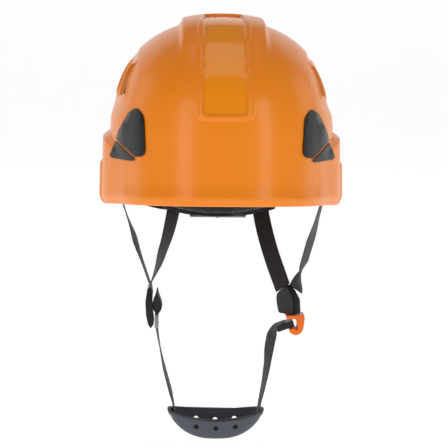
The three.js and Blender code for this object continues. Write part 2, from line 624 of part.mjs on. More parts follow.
/** Side-entry buckle: an orange socket open towards the chin and a black tongue with a webbing bar. */
function buckle() {
  const { x, y, top, foot, width, depth, bar, side } = BUCKLE;
  const [left, right] = [x - width / 2, x + width / 2];
  const outline = [
    [left, top], [right, top], [right - 2.5, foot + 6], [right - 7, foot],
    [left + 6, foot + 2.6], [left + 6.6, foot + 2.6 + bar], [right - side - 2, foot + 3.6],
    [right - side - 1, top - bar], [left, top - bar],
  ];
  add("buckle_socket", prism(outline, "y", y - depth / 2, y + depth / 2), BUCKLE_ORANGE);
  const { reach, thick, lean } = TONGUE;
  const body = block(reach, depth - 3, thick, -reach / 2 + 2, 0, 0);
  const slot = block(2.6, depth - 7, 20, -reach + 6.4, 0, 0);
  const tongue = body.subtract(slot).rotate([0, -THREE.MathUtils.radToDeg(lean), 0]);
  add("buckle_tongue", moved(tongue, TONGUE_PLACE.x, y, TONGUE_PLACE.z), BLACK);
}

function chinStraps() {
  const right = [
    [-60.2, 0, -134, 90], [-58, 0, -148, 86], [-52.6, -1, -170, 70], [-46, -2, -192, 82], [-42, -1, -214, 90],
  ];
  webbing("chin_strap_right", right);
  const upper = [[52.1, 0, -133.8, 0], [50.6, 0, -138, 6], [48.6, 0, -147, 30], [47, 0, -158, 56]];
  const lower = [[45.8, -1, -171, 74], [42, -2, -190, 84], [37, -1, -214, 90]];
  webbing("chin_strap_upper_left", upper, WEBBING.width, 10);
  webbing("chin_strap_lower_left", lower, WEBBING.width, 8);
}

/** Boat-shaped rubber cup, open above, with three vent holes in each long wall. */
function chinCup() {
  const { half, depth, rim, dip, low, wall, x, y } = CUP;
  const power = 2 / 3; // a rounded box in plan
  const ring = (share, inset) => {
    const points = [];
    const girth = Math.sqrt(Math.max(0, 1 - (0.97 * Math.max(share, 0)) ** 2));
    for (let k = 0; k < 32; k++) {
      const angle = (k * 2 * Math.PI) / 32;
      const [c, w] = [Math.cos(angle), Math.sin(angle)];
      const px = (half - inset) * Math.sign(c) * Math.abs(c) ** power * mix(0.35, 1, girth ** 0.8);
      const py = (depth / 2 - inset) * Math.sign(w) * Math.abs(w) ** power * mix(0.6, 1, girth ** 0.5);
      const rise = dip * (px / half) ** 2;
      points.push(V(x + px, y + py, mix(rim, low + inset, share) + rise));
    }
    return points;
  };
  const outer = loft([0, 0.4, 0.7, 0.9, 1].map((share) => ring(share, 0)));
  const hollow = loft([-0.25, 0, 0.4, 0.7, 0.9, 1].map((share) => ring(share, wall)));
  let cup = outer.subtract(hollow);
  for (const at of [-19, 0, 19]) cup = cup.subtract(peg(2.4, 60, x + at, y, mix(rim, low, 0.45), 12));
  add("chin_cup", cup, GREY_RUBBER);
}

outerShell();
frontClips();
rearHooks();
ventGrilles();
energyLiner();
cradleStraps();
crownPad();
cradleHangers();
headband();
rackArms();
napeAdjuster();
strapAnchors();
harness();
rightAdjuster();
buckle();
chinStraps();
chinCup();

export default helmet;
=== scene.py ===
"""Arborist helmet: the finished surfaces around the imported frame.

The shell, the lamp clips, the webbing and the chin cup are modelled afresh at the frame's sizes. The
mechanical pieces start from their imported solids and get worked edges. The pads are inflated as cloth.
"""
import json
import logging
import math
from dataclasses import dataclass, field, replace
from enum import Enum
from typing import Callable, Optional, Sequence

import bpy
import numpy as np
from mathutils import Matrix, Vector

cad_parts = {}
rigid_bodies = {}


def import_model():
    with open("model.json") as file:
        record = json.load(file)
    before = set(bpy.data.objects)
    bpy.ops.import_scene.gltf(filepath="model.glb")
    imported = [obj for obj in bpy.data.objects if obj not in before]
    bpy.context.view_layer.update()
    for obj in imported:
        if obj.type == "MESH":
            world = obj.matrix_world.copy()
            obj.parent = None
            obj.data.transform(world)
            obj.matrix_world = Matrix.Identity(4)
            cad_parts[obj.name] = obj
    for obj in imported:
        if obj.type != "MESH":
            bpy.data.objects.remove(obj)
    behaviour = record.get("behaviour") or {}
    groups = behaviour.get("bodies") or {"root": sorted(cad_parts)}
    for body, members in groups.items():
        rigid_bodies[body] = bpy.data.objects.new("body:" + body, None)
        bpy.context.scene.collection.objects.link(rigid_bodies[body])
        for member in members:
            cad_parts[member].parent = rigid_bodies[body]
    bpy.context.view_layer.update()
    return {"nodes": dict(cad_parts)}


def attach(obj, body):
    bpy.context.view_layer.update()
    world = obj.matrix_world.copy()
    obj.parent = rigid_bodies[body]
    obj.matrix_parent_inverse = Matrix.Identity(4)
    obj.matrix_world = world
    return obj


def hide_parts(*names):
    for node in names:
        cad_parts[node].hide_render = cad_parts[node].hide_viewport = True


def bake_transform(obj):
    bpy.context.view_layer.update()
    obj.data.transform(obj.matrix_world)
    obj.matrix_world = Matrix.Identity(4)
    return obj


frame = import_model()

MM = 0.001
Piece = bpy.types.Object
Socket = bpy.types.NodeSocket
Outline = Sequence[tuple[float, float]]
SIDES = {"right": -1, "left": 1}
log = logging.getLogger("helmet")
logging.basicConfig(level=logging.INFO, format="%(message)s")


# ------------------------------------------------------------------ shaping helpers
def smooth(low: float, high: float, value: np.ndarray) -> np.ndarray:
    """Ease from 0 at low to 1 at high.

    Args:
        low: where the rise starts.
        high: where it ends.
        value: the values to ease.

    Returns:
        The eased values, from 0 to 1.
    """
    t = np.clip((np.asarray(value, float) - low) / (high - low), 0.0, 1.0)
    return t * t * (3 - 2 * t)


def mix(a: float, b: float, t: float) -> float:
    """Blend a to b by t."""
    return a + (b - a) * t


def unit(vectors: np.ndarray) -> np.ndarray:
    """Scale vectors to length one."""
    return vectors / np.maximum(np.linalg.norm(vectors, axis=-1, keepdims=True), 1e-9)


def clear_selection() -> None:
    """Leave edit mode and deselect everything."""
    if bpy.context.object and bpy.context.object.mode != "OBJECT":
        bpy.ops.object.mode_set(mode="OBJECT")
    bpy.ops.object.select_all(action="DESELECT")


def pick(piece: Piece) -> None:
    """Make a piece the only selected and active one."""
    clear_selection()
    piece.select_set(True)
    bpy.context.view_layer.objects.active = piece


def in_edit_mode(piece: Piece, work: Callable[[], None], select_all: bool = True) -> None:
    """Run edit-mode operators on a piece.

    Args:
        piece: the mesh object.
        work: a function that calls the operators.
        select_all: whether the whole mesh is selected first.
    """
    pick(piece)
    bpy.ops.object.mode_set(mode="EDIT")
    if select_all:
        bpy.ops.mesh.select_all(action="SELECT")
    work()
    bpy.ops.object.mode_set(mode="OBJECT")


def apply_modifier(piece: Piece, kind: str, **settings: object) -> None:
    """Add a modifier, set it and apply it.

    Args:
        piece: the mesh object.
        kind: the modifier's type.
        settings: its properties.
    """
    pick(piece)
    modifier = piece.modifiers.new(kind.title(), kind)
    for key, value in settings.items():
        setattr(modifier, key, value)
    bpy.ops.object.modifier_apply(modifier=modifier.name)


def finish_edges(piece: Piece, width: float, segments: int = 2, angle: float = 35.0) -> None:
    """Round a piece's sharp edges and shade it smooth.

    Args:
        piece: the mesh object.
        width: bevel width in millimetres.
        segments: steps across the bevel.
        angle: edges sharper than this many degrees are rounded.
    """
    apply_modifier(piece, "BEVEL", width=width * MM, segments=segments, limit_method="ANGLE",
                   angle_limit=math.radians(angle), harden_normals=False, use_clamp_overlap=True)
    shade(piece, angle)


def shade(piece: Piece, angle: float = 35.0) -> None:
    """Shade smooth, and keep edges above an angle in degrees sharp."""
    pick(piece)
    bpy.ops.object.shade_smooth_by_angle(angle=math.radians(angle))


def grid_skin(name: str, rings: np.ndarray, wrap: bool = False, caps: bool = False) -> Piece:
    """Make a mesh from rows of points, starting from a grid primitive.

    Args:
        name: the piece's name.
        rings: points in millimetres, as rows by columns by 3.
        wrap: whether each row closes on itself.
        caps: whether the first and last rows are closed with a face.

    Returns:
        The mesh object, with a UV map in millimetres along each row and down the rows.
    """
    if wrap:
        rings = np.concatenate([rings, rings[:, :1]], axis=1)
    rows, columns = rings.shape[:2]
    clear_selection()
    bpy.ops.mesh.primitive_grid_add(x_subdivisions=columns - 1, y_subdivisions=rows - 1, size=1)
    piece = bpy.context.object
    piece.name = piece.data.name = name
    mesh = piece.data
    across = np.concatenate([np.zeros((rows, 1)),
                             np.cumsum(np.linalg.norm(np.diff(rings, axis=1), axis=2), axis=1)], axis=1)
    down = np.concatenate([np.zeros((1, columns)),
                           np.cumsum(np.linalg.norm(np.diff(rings, axis=0), axis=2), axis=0)], axis=0)
    width = across[rows // 2, -1]
    flat = np.stack([across / np.maximum(across[:, -1:], 1e-6) * width,
                     np.repeat(down.mean(axis=1)[:, None], columns, axis=1)], axis=-1).reshape(-1, 2)
    mesh.vertices.foreach_set("co", (rings.reshape(-1, 3) * MM).ravel())
    corners = np.empty(len(mesh.loops), int)
    mesh.loops.foreach_get("vertex_index", corners)
    mesh.uv_layers.active.data.foreach_set("uv", flat[corners].ravel())
    mesh.update()

    def close() -> None:
        bpy.ops.mesh.remove_doubles(threshold=1e-6)
        if caps:
            bpy.ops.mesh.fill_holes(sides=0)
            bpy.ops.mesh.select_all(action="SELECT")
        bpy.ops.mesh.normals_make_consistent(inside=False)

    in_edit_mode(piece, close)
    return piece


def extruded(name: str, outline: Outline, axis: str, near: float,
             far: float, corner: float = 0.0) -> Piece:
    """Extrude a flat outline along X or Y, with its corners rounded.

    Args:
        name: the piece's name.
        outline: (x or y, z) points in millimetres.
        axis: "x" or "y", the direction of the extrusion.
        near: where it starts along that axis.
        far: where it ends.
        corner: radius of the rounded corners.

    Returns:
        The mesh object.
    """
    clear_selection()
    bpy.ops.mesh.primitive_circle_add(vertices=len(outline), fill_type="NGON")
    piece = bpy.context.object
    piece.name = piece.data.name = name
    for vertex, (a, z) in zip(piece.data.vertices, outline):
        vertex.co = (a * MM, near * MM, z * MM) if axis == "y" else (near * MM, a * MM, z * MM)
    step = (0, (far - near) * MM, 0) if axis == "y" else ((far - near) * MM, 0, 0)

    def work() -> None:
        if corner:
            bpy.ops.mesh.bevel(offset=corner * MM, segments=5, affect="VERTICES")
        bpy.ops.mesh.extrude_region_move(TRANSFORM_OT_translate={"value": step})
        bpy.ops.mesh.select_all(action="SELECT")
        bpy.ops.mesh.normals_make_consistent(inside=False)

    in_edit_mode(piece, work)
    return piece


def box(name: str, size: Sequence[float], centre: Sequence[float]) -> Piece:
    """A block in millimetres, with its place in its mesh."""
    clear_selection()
    bpy.ops.mesh.primitive_cube_add(size=1)
    piece = bpy.context.object
    piece.name = piece.data.name = name
    piece.data.transform(Matrix.Translation(Vector(centre) * MM) @ Matrix.Diagonal((*(Vector(size) * MM), 1)))
    return piece


def rod(name: str, radius: float, length: float, centre: Sequence[float], axis: str,
        sides: int = 32) -> Piece:
    """A cylinder in millimetres along x, y or z, with its place in its mesh."""
    clear_selection()
    bpy.ops.mesh.primitive_cylinder_add(vertices=sides, radius=radius * MM, depth=length * MM)
    piece = bpy.context.object
    piece.name = piece.data.name = name
    quarter = math.pi / 2
    turn = {"x": Matrix.Rotation(quarter, 4, "Y"), "y": Matrix.Rotation(quarter, 4, "X"), "z": Matrix()}
    piece.data.transform(Matrix.Translation(Vector(centre) * MM) @ turn[axis])
    return piece


def boolean(piece: Piece, tools: Sequence[Piece], operation: str = "DIFFERENCE") -> None:
    """Cut, join or intersect a piece with tools, which are used up.

    Args:
        piece: the piece that is changed.
        tools: the tool objects.
        operation: "DIFFERENCE", "UNION" or "INTERSECT".
    """
    for tool in tools:
        apply_modifier(piece, "BOOLEAN", object=tool, operation=operation, solver="EXACT")
        bpy.data.objects.remove(tool, do_unlink=True)


def joined(name: str, pieces: Sequence[Piece]) -> Piece:
    """Join pieces into one object."""
    clear_selection()
    for piece in pieces:
        piece.select_set(True)
    bpy.context.view_layer.objects.active = pieces[0]
    bpy.ops.object.join()
    pieces[0].name = pieces[0].data.name = name
    return pieces[0]


# ------------------------------------------------------------------ finishes
class Graph:
    """A material's node graph around one Principled BSDF."""

    def __init__(self, name: str) -> None:
        """Start a material with its shader."""
        self.material = bpy.data.materials.new(f"{name} finish")
        self.material.use_nodes = True
        self.tree = self.material.node_tree
        self.shader = self.tree.nodes["Principled BSDF"]
        self.objects = self.node("ShaderNodeTexCoord").outputs["Object"]
        self.uv = self.node("ShaderNodeTexCoord").outputs["UV"]

    def node(self, kind: str, **settings: object) -> bpy.types.Node:
        """Add a node and set its properties."""
        made = self.tree.nodes.new(kind)
        for key, value in settings.items():
            setattr(made, key, value)
        return made

    def feed(self, node: bpy.types.Node, **inputs: object) -> bpy.types.Node:
        """Set or link a node's inputs, by name with spaces as underscores."""
        for key, value in inputs.items():
            numbered = key[0] == "i" and key[1:].isdigit()
            socket = node.inputs[int(key[1:]) if numbered else key.replace("_", " ")]
            if isinstance(value, Socket):
                self.tree.links.new(value, socket)
            else:
                socket.default_value = value
        return node

    def noise(self, scale: float, detail: float = 3.0, source: Optional[Socket] = None) -> Socket:
        """Noise of a scale per metre on object coordinates."""
        made = self.node("ShaderNodeTexNoise")
        self.feed(made, Vector=source or self.objects, Scale=scale, Detail=detail)
        return made.outputs["Fac"]

    def cells(self, scale: float, feature: str = "F1") -> Socket:
        """Voronoi distance of a scale per metre on object coordinates."""
        made = self.feed(self.node("ShaderNodeTexVoronoi", feature=feature), Vector=self.objects, Scale=scale)
        return made.outputs["Distance"]

    def math(self, operation: str, a: object, b: object = 0.0) -> Socket:
        """A math node's result."""
        return self.feed(self.node("ShaderNodeMath", operation=operation), i0=a, i1=b).outputs[0]

    def spread(self, value: Socket, low: float, high: float, start: float = 0.0,
               end: float = 1.0) -> Socket:
        """Map a value from start..end to low..high."""
        made = self.node("ShaderNodeMapRange")
        return self.feed(made, i0=value, i1=start, i2=end, i3=low, i4=high).outputs[0]

    def tint(self, value: Socket, dark: Sequence[float], light: Sequence[float]) -> Socket:
        """Blend two colours by a value."""
        made = self.node("ShaderNodeMix", data_type="RGBA")
        made.inputs[6].default_value = (*dark, 1)
        made.inputs[7].default_value = (*light, 1)
        self.tree.links.new(value, made.inputs[0])
        return made.outputs[2]

    def bump(self, height: Socket, distance: float, under: Optional[Socket] = None) -> Socket:
        """Add relief of a distance in millimetres, on top of another relief if given."""
        made = self.feed(self.node("ShaderNodeBump"), Height=height, Distance=distance * MM, Strength=1.0)
        if under:
            self.tree.links.new(under, made.inputs["Normal"])
        return made.outputs["Normal"]

    def shine(self, **inputs: object) -> None:
        """Set or link the shader's own sockets."""
        self.feed(self.shader, **inputs)


def srgb(red: int, green: int, blue: int) -> tuple[float, float, float]:
    """Turn 0-255 display values into linear ones."""
    linear = [((c / 255 + 0.055) / 1.055) ** 2.4 if c > 10 else c / 255 / 12.92 for c in (red, green, blue)]
    return tuple(linear)


@dataclass(frozen=True)
class MouldedPlastic:
    """Injection-moulded plastic: a fine skin, faint flow marks and rubbed edges.

    Args:
        name: the material's name.
        colour: linear base colour.
        roughness: roughness of the open surface.
        coat: weight of the glossy top layer.
        grain: height of the skin's relief in millimetres.
        rub: how much the edges are lightened by wear.
    """

    name: str
    colour: tuple[float, float, float]
    roughness: float = 0.4
    coat: float = 0.0
    grain: float = 0.01
    rub: float = 0.5

    def build(self) -> bpy.types.Material:
        """Return the material."""
        graph = Graph(self.name)
        flow = graph.noise(22, 2)
        dark = tuple(c * 0.9 for c in self.colour)
        base = graph.tint(flow, dark, self.colour)
        sharpness = graph.node("ShaderNodeNewGeometry").outputs["Pointiness"]
        edge = graph.spread(sharpness, 0, self.rub, 0.52, 0.62)
        worn = graph.node("ShaderNodeMix", data_type="RGBA")
        worn.inputs[7].default_value = (*(min(1, c * 1.5 + 0.02) for c in self.colour), 1)
        graph.tree.links.new(edge, worn.inputs[0])
        graph.tree.links.new(base, worn.inputs[6])
        rough = graph.spread(graph.noise(160, 4), self.roughness - 0.05, self.roughness + 0.07, 0.3, 0.7)
        relief = graph.bump(graph.noise(2600, 2), self.grain)
        graph.shine(Base_Color=worn.outputs[2], Roughness=rough, Normal=relief, Specular_IOR_Level=0.28,
                    Coat_Weight=self.coat, Coat_Roughness=0.12)
        return graph.material


@dataclass(frozen=True)
class ShellPlastic:
    """Glossy orange shell: coated, with a faint orange peel and a smoother front panel."""

    name: str = "shell_orange"
    colour: tuple[float, float, float] = srgb(255, 146, 4)
    deep: tuple[float, float, float] = srgb(253, 134, 2)
    gloss: tuple[float, float, float] = srgb(255, 150, 2)

    def build(self) -> bpy.types.Material:
        """Return the material."""
        graph = Graph(self.name)
        panel = graph.node("ShaderNodeAttribute", attribute_name="panel").outputs["Fac"]
        cloud = graph.tint(graph.noise(9, 2), self.deep, self.colour)
        base = graph.node("ShaderNodeMix", data_type="RGBA")
        base.inputs[7].default_value = (*self.gloss, 1)
        graph.tree.links.new(panel, base.inputs[0])
        graph.tree.links.new(cloud, base.inputs[6])
        satin = graph.spread(graph.noise(70, 4), 0.34, 0.4, 0.3, 0.7)
        rough = graph.math("MULTIPLY", satin, graph.spread(panel, 1.0, 0.35))
        peel = graph.bump(graph.noise(260, 1), 0.012, graph.bump(graph.noise(1500, 2), 0.002))
        graph.shine(Base_Color=base.outputs[2], Roughness=rough, Normal=peel, Coat_Weight=0.25,
                    Coat_Roughness=0.12, Specular_IOR_Level=0.35)
        return graph.material


@dataclass(frozen=True)
class Webbing:
    """Woven polyester webbing on a UV map in millimetres: ribs along, picks across, and selvages, with painted
    shade in the weave's hollows and a painted highlight on its crests.

    Args:
        name: the material's name.
        colour: linear colour of the yarn.
        pitch: spacing of the picks in millimetres.
    """

    name: str
    colour: tuple[float, float, float]
    pitch: float = 1.15

    def build(self) -> bpy.types.Material:
        """Return the material."""
        graph = Graph(self.name)
        parts = graph.feed(graph.node("ShaderNodeSeparateXYZ"), Vector=graph.uv)
        across, along = parts.outputs[0], parts.outputs[1]
        turn = 2 * math.pi / self.pitch
        ribs = graph.math("SINE", graph.math("MULTIPLY", across, turn * 0.62))
        slant = graph.math("ADD", graph.math("MULTIPLY", along, turn), graph.math("MULTIPLY", ribs, 1.2))
        picks = graph.math("SINE", slant)
        weave = graph.math("MULTIPLY", graph.math("ADD", ribs, 1.4), graph.math("ADD", picks, 1.6))
        height = graph.spread(weave, 0, 1, 0.2, 6.2)
        fuzz = graph.noise(900, 4)
        # Painted shade and highlight: the yarn is darkened where the weave's relief is low and lightened where
        # it is high, with a random fuzz tone on top.
        dark = tuple(c * 0.42 for c in self.colour)
        light = tuple(min(1, c * 1.35) for c in self.colour)
        weave = graph.math("MULTIPLY", height, graph.spread(fuzz, 0.7, 1.15, 0.3, 0.7))
        base = graph.tint(weave, dark, light)
        relief = graph.bump(height, 0.16, graph.bump(fuzz, 0.05))
        graph.shine(Base_Color=base, Roughness=0.78, Normal=relief, Sheen_Weight=0.25, Sheen_Roughness=0.5)
        return graph.material


@dataclass(frozen=True)
class Knit:
    """Brushed knit cover of the pads."""

    name: str = "padding"
    colour: tuple[float, float, float] = srgb(46, 46, 50)

    def build(self) -> bpy.types.Material:
        """Return the material."""
        graph = Graph(self.name)
        loops = graph.cells(850, "SMOOTH_F1")
        fuzz = graph.noise(420, 5)
        base = graph.tint(fuzz, tuple(c * 0.6 for c in self.colour), tuple(c * 1.5 for c in self.colour))
        relief = graph.bump(loops, 0.35, graph.bump(fuzz, 0.15))
        graph.shine(Base_Color=base, Roughness=0.92, Normal=relief, Sheen_Weight=0.4, Sheen_Roughness=0.6)
        return graph.material


@dataclass(frozen=True)
class BeadFoam:
    """Moulded bead foam: flattened beads with dark seams."""

    name: str = "liner_foam"
    colour: tuple[float, float, float] = srgb(58, 58, 62)

    def build(self) -> bpy.types.Material:
        """Return the material."""
        graph = Graph(self.name)
        seams = graph.spread(graph.cells(300, "DISTANCE_TO_EDGE"), 0, 1, 0.0, 0.12)
        base = graph.tint(seams, tuple(c * 0.5 for c in self.colour), self.colour)
        relief = graph.bump(seams, 0.12, graph.bump(graph.noise(1400, 3), 0.03))
        graph.shine(Base_Color=base, Roughness=0.85, Normal=relief)
        return graph.material


@dataclass(frozen=True)
class SoftRubber:
    """Grey moulded rubber with a stippled skin and faint dust."""

    name: str = "grey_rubber"
    colour: tuple[float, float, float] = srgb(78, 82, 92)

    def build(self) -> bpy.types.Material:
        """Return the material."""
        graph = Graph(self.name)
        dust = graph.noise(45, 4)
        base = graph.tint(dust, tuple(c * 0.86 for c in self.colour), tuple(c * 1.1 for c in self.colour))
        relief = graph.bump(graph.noise(1900, 3), 0.05)
        rough = graph.spread(dust, 0.58, 0.72, 0.3, 0.7)
        graph.shine(Base_Color=base, Roughness=rough, Normal=relief, Sheen_Weight=0.08)
        return graph.material


@dataclass(frozen=True)
class Wire:
    """Drawn metal of the vent meshes."""

    name: str = "vent_mesh"

    def build(self) -> bpy.types.Material:
        """Return the material."""
        graph = Graph(self.name)
        marks = graph.noise(600, 3)
        base = graph.tint(marks, srgb(120, 123, 130), srgb(176, 178, 184))
        graph.shine(Base_Color=base, Metallic=0.6, Roughness=graph.spread(marks, 0.35, 0.5, 0.3, 0.7),
                    Normal=graph.bump(marks, 0.02))
        return graph.material


class Finish(Enum):
    """The helmet's finishes, one for each material slot of the record."""

    SHELL = ShellPlastic()
    BLACK = MouldedPlastic("black_plastic", srgb(12, 12, 13), 0.36, 0.15, 0.008, 0.35)
    GREY = MouldedPlastic("grey_plastic", srgb(140, 143, 150), 0.42, 0.0, 0.012, 0.3)
    BUCKLE = MouldedPlastic("buckle_orange", srgb(255, 122, 34), 0.4, 0.1, 0.01, 0.4)
    WEBBING = Webbing("webbing", srgb(48, 48, 54))
    CRADLE = Webbing("cradle_webbing", srgb(52, 52, 56), 1.5)
    PADDING = Knit()
    FOAM = BeadFoam()
    RUBBER = SoftRubber()
    MESH = Wire()

    def material(self) -> bpy.types.Material:
        """Return the finish's material, made once."""
        return bpy.data.materials.get(f"{self.value.name} finish") or self.value.build()


def dress(piece: Piece, finish: Finish, body: str = "root", replaces: Sequence[str] = ()) -> Piece:
    """Give a piece its finish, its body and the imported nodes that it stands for.

    Args:
        piece: the finished mesh object.
        finish: its finish.
        body: the body that it rides on, or an empty name for a piece that is left without a body.
        replaces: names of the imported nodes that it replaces.

    Returns:
        The same piece.
    """
    piece.data.materials.clear()
    piece.data.materials.append(finish.material())
    if body:
        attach(piece, body)
    if replaces:
        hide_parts(*replaces)
    log.info("%s: %d faces on %s", piece.name, len(piece.data.polygons), body or "two bodies")
    return piece


# ------------------------------------------------------------------ shell
@dataclass
class ShellForm:
    """The helmet shell's outer form, in millimetres.

    A direction phi is 0 at the front and 90 degrees at +X. A level runs from 0 at the rim, through 1 at
    the dome's foot, to 2 at the crown.
    """

    half_width: float = 103.0
    front: float = 134.0
    rear: float = 138.0
    equator: float = 50.0
    crown: float = 157.0
    plan: float = 2.25
    rise: float = 2.36
    wall: float = 3.2
    rim_slope: float = 0.09
    rim_front: float = 138.0
    rim_lowest: float = -20.0
    rim_flare: float = 0.014
    rim_roll: float = 2.6
    rim_roll_height: float = 10.0
    brim_depth: float = 3.2
    brim_height: float = 18.0
    skirt_depth: float = 6.8
    skirt_height: float = 53.0
    skirt_front: float = 41.0
    skirt_edge: float = 4.0
    scoop_plane: float = 76.5
    scoop_depth: float = 3.4
    scoop_edge: float = 2.0
    scoop_foot: float = 80.0
    crest: float = 6.0
    crest_half: float = 34.0
    crest_foot: float = 41.0
    ear_half: float = 17.0
    ear_top: float = 27.0
    ear_depth: float = 2.0
    vents: dict[str, list[tuple[float, float]]] = field(default_factory=lambda: {
        "front": [(-58, 91), (-36, 88), (-20, 110), (-24, 116), (-42, 118)],
        "rear": [(-14, 89), (12, 91), (20, 112), (16, 116), (-2, 118)]})

    def off_front(self, phi: np.ndarray) -> np.ndarray:
        """Angle away from straight ahead, from 0 to pi."""
        return np.abs(np.arctan2(np.sin(phi), np.cos(phi)))

    def plan_radius(self, phi: np.ndarray) -> np.ndarray:
        """Reach of the dome's plan outline in a direction."""
        along = np.where(np.cos(phi) > 0, self.front, self.rear)
        power = self.plan
        across_share = (np.abs(np.sin(phi)) / self.half_width) ** power
        along_share = (np.abs(np.cos(phi)) / along) ** power
        return (across_share + along_share) ** (-1 / power)

    def rim_height(self, phi: np.ndarray) -> np.ndarray:
        """Height of the rim in a direction."""
        y = -np.cos(phi) * self.plan_radius(phi)
        z = -self.rim_slope * (y + self.rim_front)
        eased = smooth(40, 110, y)
        return np.maximum(z, z + (self.rim_lowest - z) * eased)

    def base(self, phi: np.ndarray, level: np.ndarray) -> np.ndarray:
        """Points of the form without its raised features."""
        phi, level = np.broadcast_arrays(np.asarray(phi, float), np.asarray(level, float))
        plan = self.plan_radius(phi)
        off = self.off_front(phi)
        rim = self.rim_height(phi)
        low_z = rim + (self.equator - rim) * level
        low_r = plan * (1 + self.rim_flare * (1 - level))
        low_r = low_r - self.rim_roll * (1 - smooth(0, self.rim_roll_height, low_z - rim)) ** 2
        front_only = 1 - smooth(math.radians(32), math.radians(62), off)
        low_r = low_r + self.brim_depth * (1 - smooth(2, self.brim_height, low_z - rim)) * front_only
        share = np.clip(2 - level, 0, 1)
        high_z = self.equator + (self.crown - self.equator) * (1 - share ** self.rise) ** (1 / self.rise)
        low = level <= 1
        r = np.where(low, low_r, plan * share)
        z = np.where(low, low_z, high_z)
        climb = smooth(math.radians(48), math.radians(82), off)
        ledge = self.skirt_front + (self.skirt_height - self.skirt_front) * climb
        half = self.skirt_edge / 2
        sides_only = smooth(math.radians(50), math.radians(74), off)
        r = r + self.skirt_depth * sides_only * (1 - smooth(ledge - half, ledge + half, z))
        points = np.stack([np.sin(phi) * r, -np.cos(phi) * r, z], axis=-1)
        beyond = smooth(self.scoop_plane, self.scoop_plane + self.scoop_edge, np.abs(points[..., 0]))
        above = smooth(self.scoop_foot - 12, self.scoop_foot + 4, z)
        scoop = self.scoop_depth * beyond * above * (1 - smooth(-16, 30, points[..., 1]))
        points[..., 0] -= np.sign(points[..., 0]) * scoop
        return points

    def normal(self, phi: np.ndarray, level: np.ndarray) -> np.ndarray:
        """Outward directions of the form."""
        step = 0.004
        level = np.minimum(level, 1.985)
        around = self.base(phi + step, level) - self.base(phi - step, level)
        up = self.base(phi, level + step) - self.base(phi, level - step)
        made = unit(np.cross(around, up))
        outward = self.base(phi, level)
        outward[..., 2] = np.maximum(outward[..., 2] - self.equator, 0)
        flip = np.sum(made * outward, axis=-1, keepdims=True) < 0
        return np.where(flip, -made, made)

    def panel_share(self, points: np.ndarray) -> np.ndarray:
        """How much of the front panel each point lies on, from 0 to 1."""
        x, y, z = np.abs(points[..., 0]), points[..., 1], points[..., 2]
        half = 18.6 - 0.9 * smooth(-125, -40, y)
        corner = np.hypot(np.maximum(x - (half - 5), 0), np.maximum(81.5 - z, 0))
        wide = (1 - smooth(half - 1.0, half + 1.0, x)) * smooth(75.2, 77.2, z)
        return wide * (1 - smooth(4.0, 6.0, corner)) * (1 - smooth(-40, -38, y))

    def feature(self, points: np.ndarray) -> np.ndarray:
        """Outward offset of the crest, its panel and pocket, the ear boxes and the vent lips."""
        x, y, z = np.abs(points[..., 0]), points[..., 1], points[..., 2]
        fade = smooth(-112, -50, y) * (1 - smooth(60, 118, y))
        h = self.crest * (1 - smooth(self.crest_half, self.crest_foot, x)) * fade
        half = 18.6 - 0.9 * smooth(-125, -40, y)
        front = (y < 0) & (z > 70)
        # the frame round the panel, with rounded lower corners
        outer = half + 4.6
        reach = np.hypot(np.maximum(x - (outer - 7), 0), np.maximum(79.5 - z, 0))
        frame_share = (1 - smooth(outer - 1.2, outer + 1.2, x)) * (1 - smooth(6.0, 8.4, reach))
        frame_share = frame_share * smooth(71.2, 74.4, z)
        fall = 1 - smooth(-62, -36, y)
        h = h + np.where(front, 1.3 * frame_share * fall, 0)
        panel = self.panel_share(points)
        h = h - np.where(front, panel * (1.1 + 1.3 * fall), 0)
        # the pocket behind the panel: a floor that dives forward and a steep rear wall
        pocket_half = 15.6
        inside = (1 - smooth(pocket_half - 0.8, pocket_half + 0.8, x))
        dive = (1 - smooth(-9, -6, y)) * smooth(-39.5, -37.3, y)
        deep = 2.4 + 2.8 * smooth(-36, -12, y)
        h = h - np.where(z > 100, inside * dive * deep, 0)
        rear = (1 - smooth(15.2, 17.2, x)) * smooth(16, 21, y) * (1 - smooth(94, 102, y))
        h = h - 1.5 * rear
        on_ear = 1 - smooth(self.ear_half - 1.8, self.ear_half + 1.8, np.abs(y))
        on_ear = on_ear * (1 - smooth(self.ear_top - 2.2, self.ear_top + 2.2, z))
        h = h + self.ear_depth * on_ear * smooth(95, 100, x)
        for outline in self.vents.values():
            gap = self.outline_distance(outline, y, z)
            h = h + np.where(x > 50, 1.1 * np.exp(-(((gap - 1.6) / 1.3) ** 2)), 0)
        return h

    @staticmethod
    def outline_distance(outline: Outline, y: np.ndarray, z: np.ndarray) -> np.ndarray:
        """Distance in the YZ plane from an outline's edge, negative inside."""
        best = np.full(y.shape, 1e9)
        inside = np.zeros(y.shape, bool)
        for (y1, z1), (y2, z2) in zip(outline, [*outline[1:], outline[0]]):
            dy, dz = y2 - y1, z2 - z1
            t = np.clip(((y - y1) * dy + (z - z1) * dz) / (dy * dy + dz * dz), 0, 1)
            best = np.minimum(best, np.hypot(y - y1 - t * dy, z - z1 - t * dz))
            crosses = (z1 > z) != (z2 > z)
            with np.errstate(divide="ignore", invalid="ignore"):
                at = y1 + (z - z1) * dy / (dz if dz else 1e-9)
            inside ^= crosses & (y < at)
        return np.where(inside, -best, best)

    def outer(self, phi: np.ndarray, level: np.ndarray, lift: float = 0.0) -> np.ndarray:
        """Points of the finished outer surface, raised by lift."""
        points = self.base(phi, level)
        return points + self.normal(phi, level) * (self.feature(points) + lift)[..., None]

    def layer(self, phi: np.ndarray, level: np.ndarray, offset: float) -> np.ndarray:
        """Points at an offset from the plain form."""
        return self.base(phi, level) + self.normal(phi, level) * offset

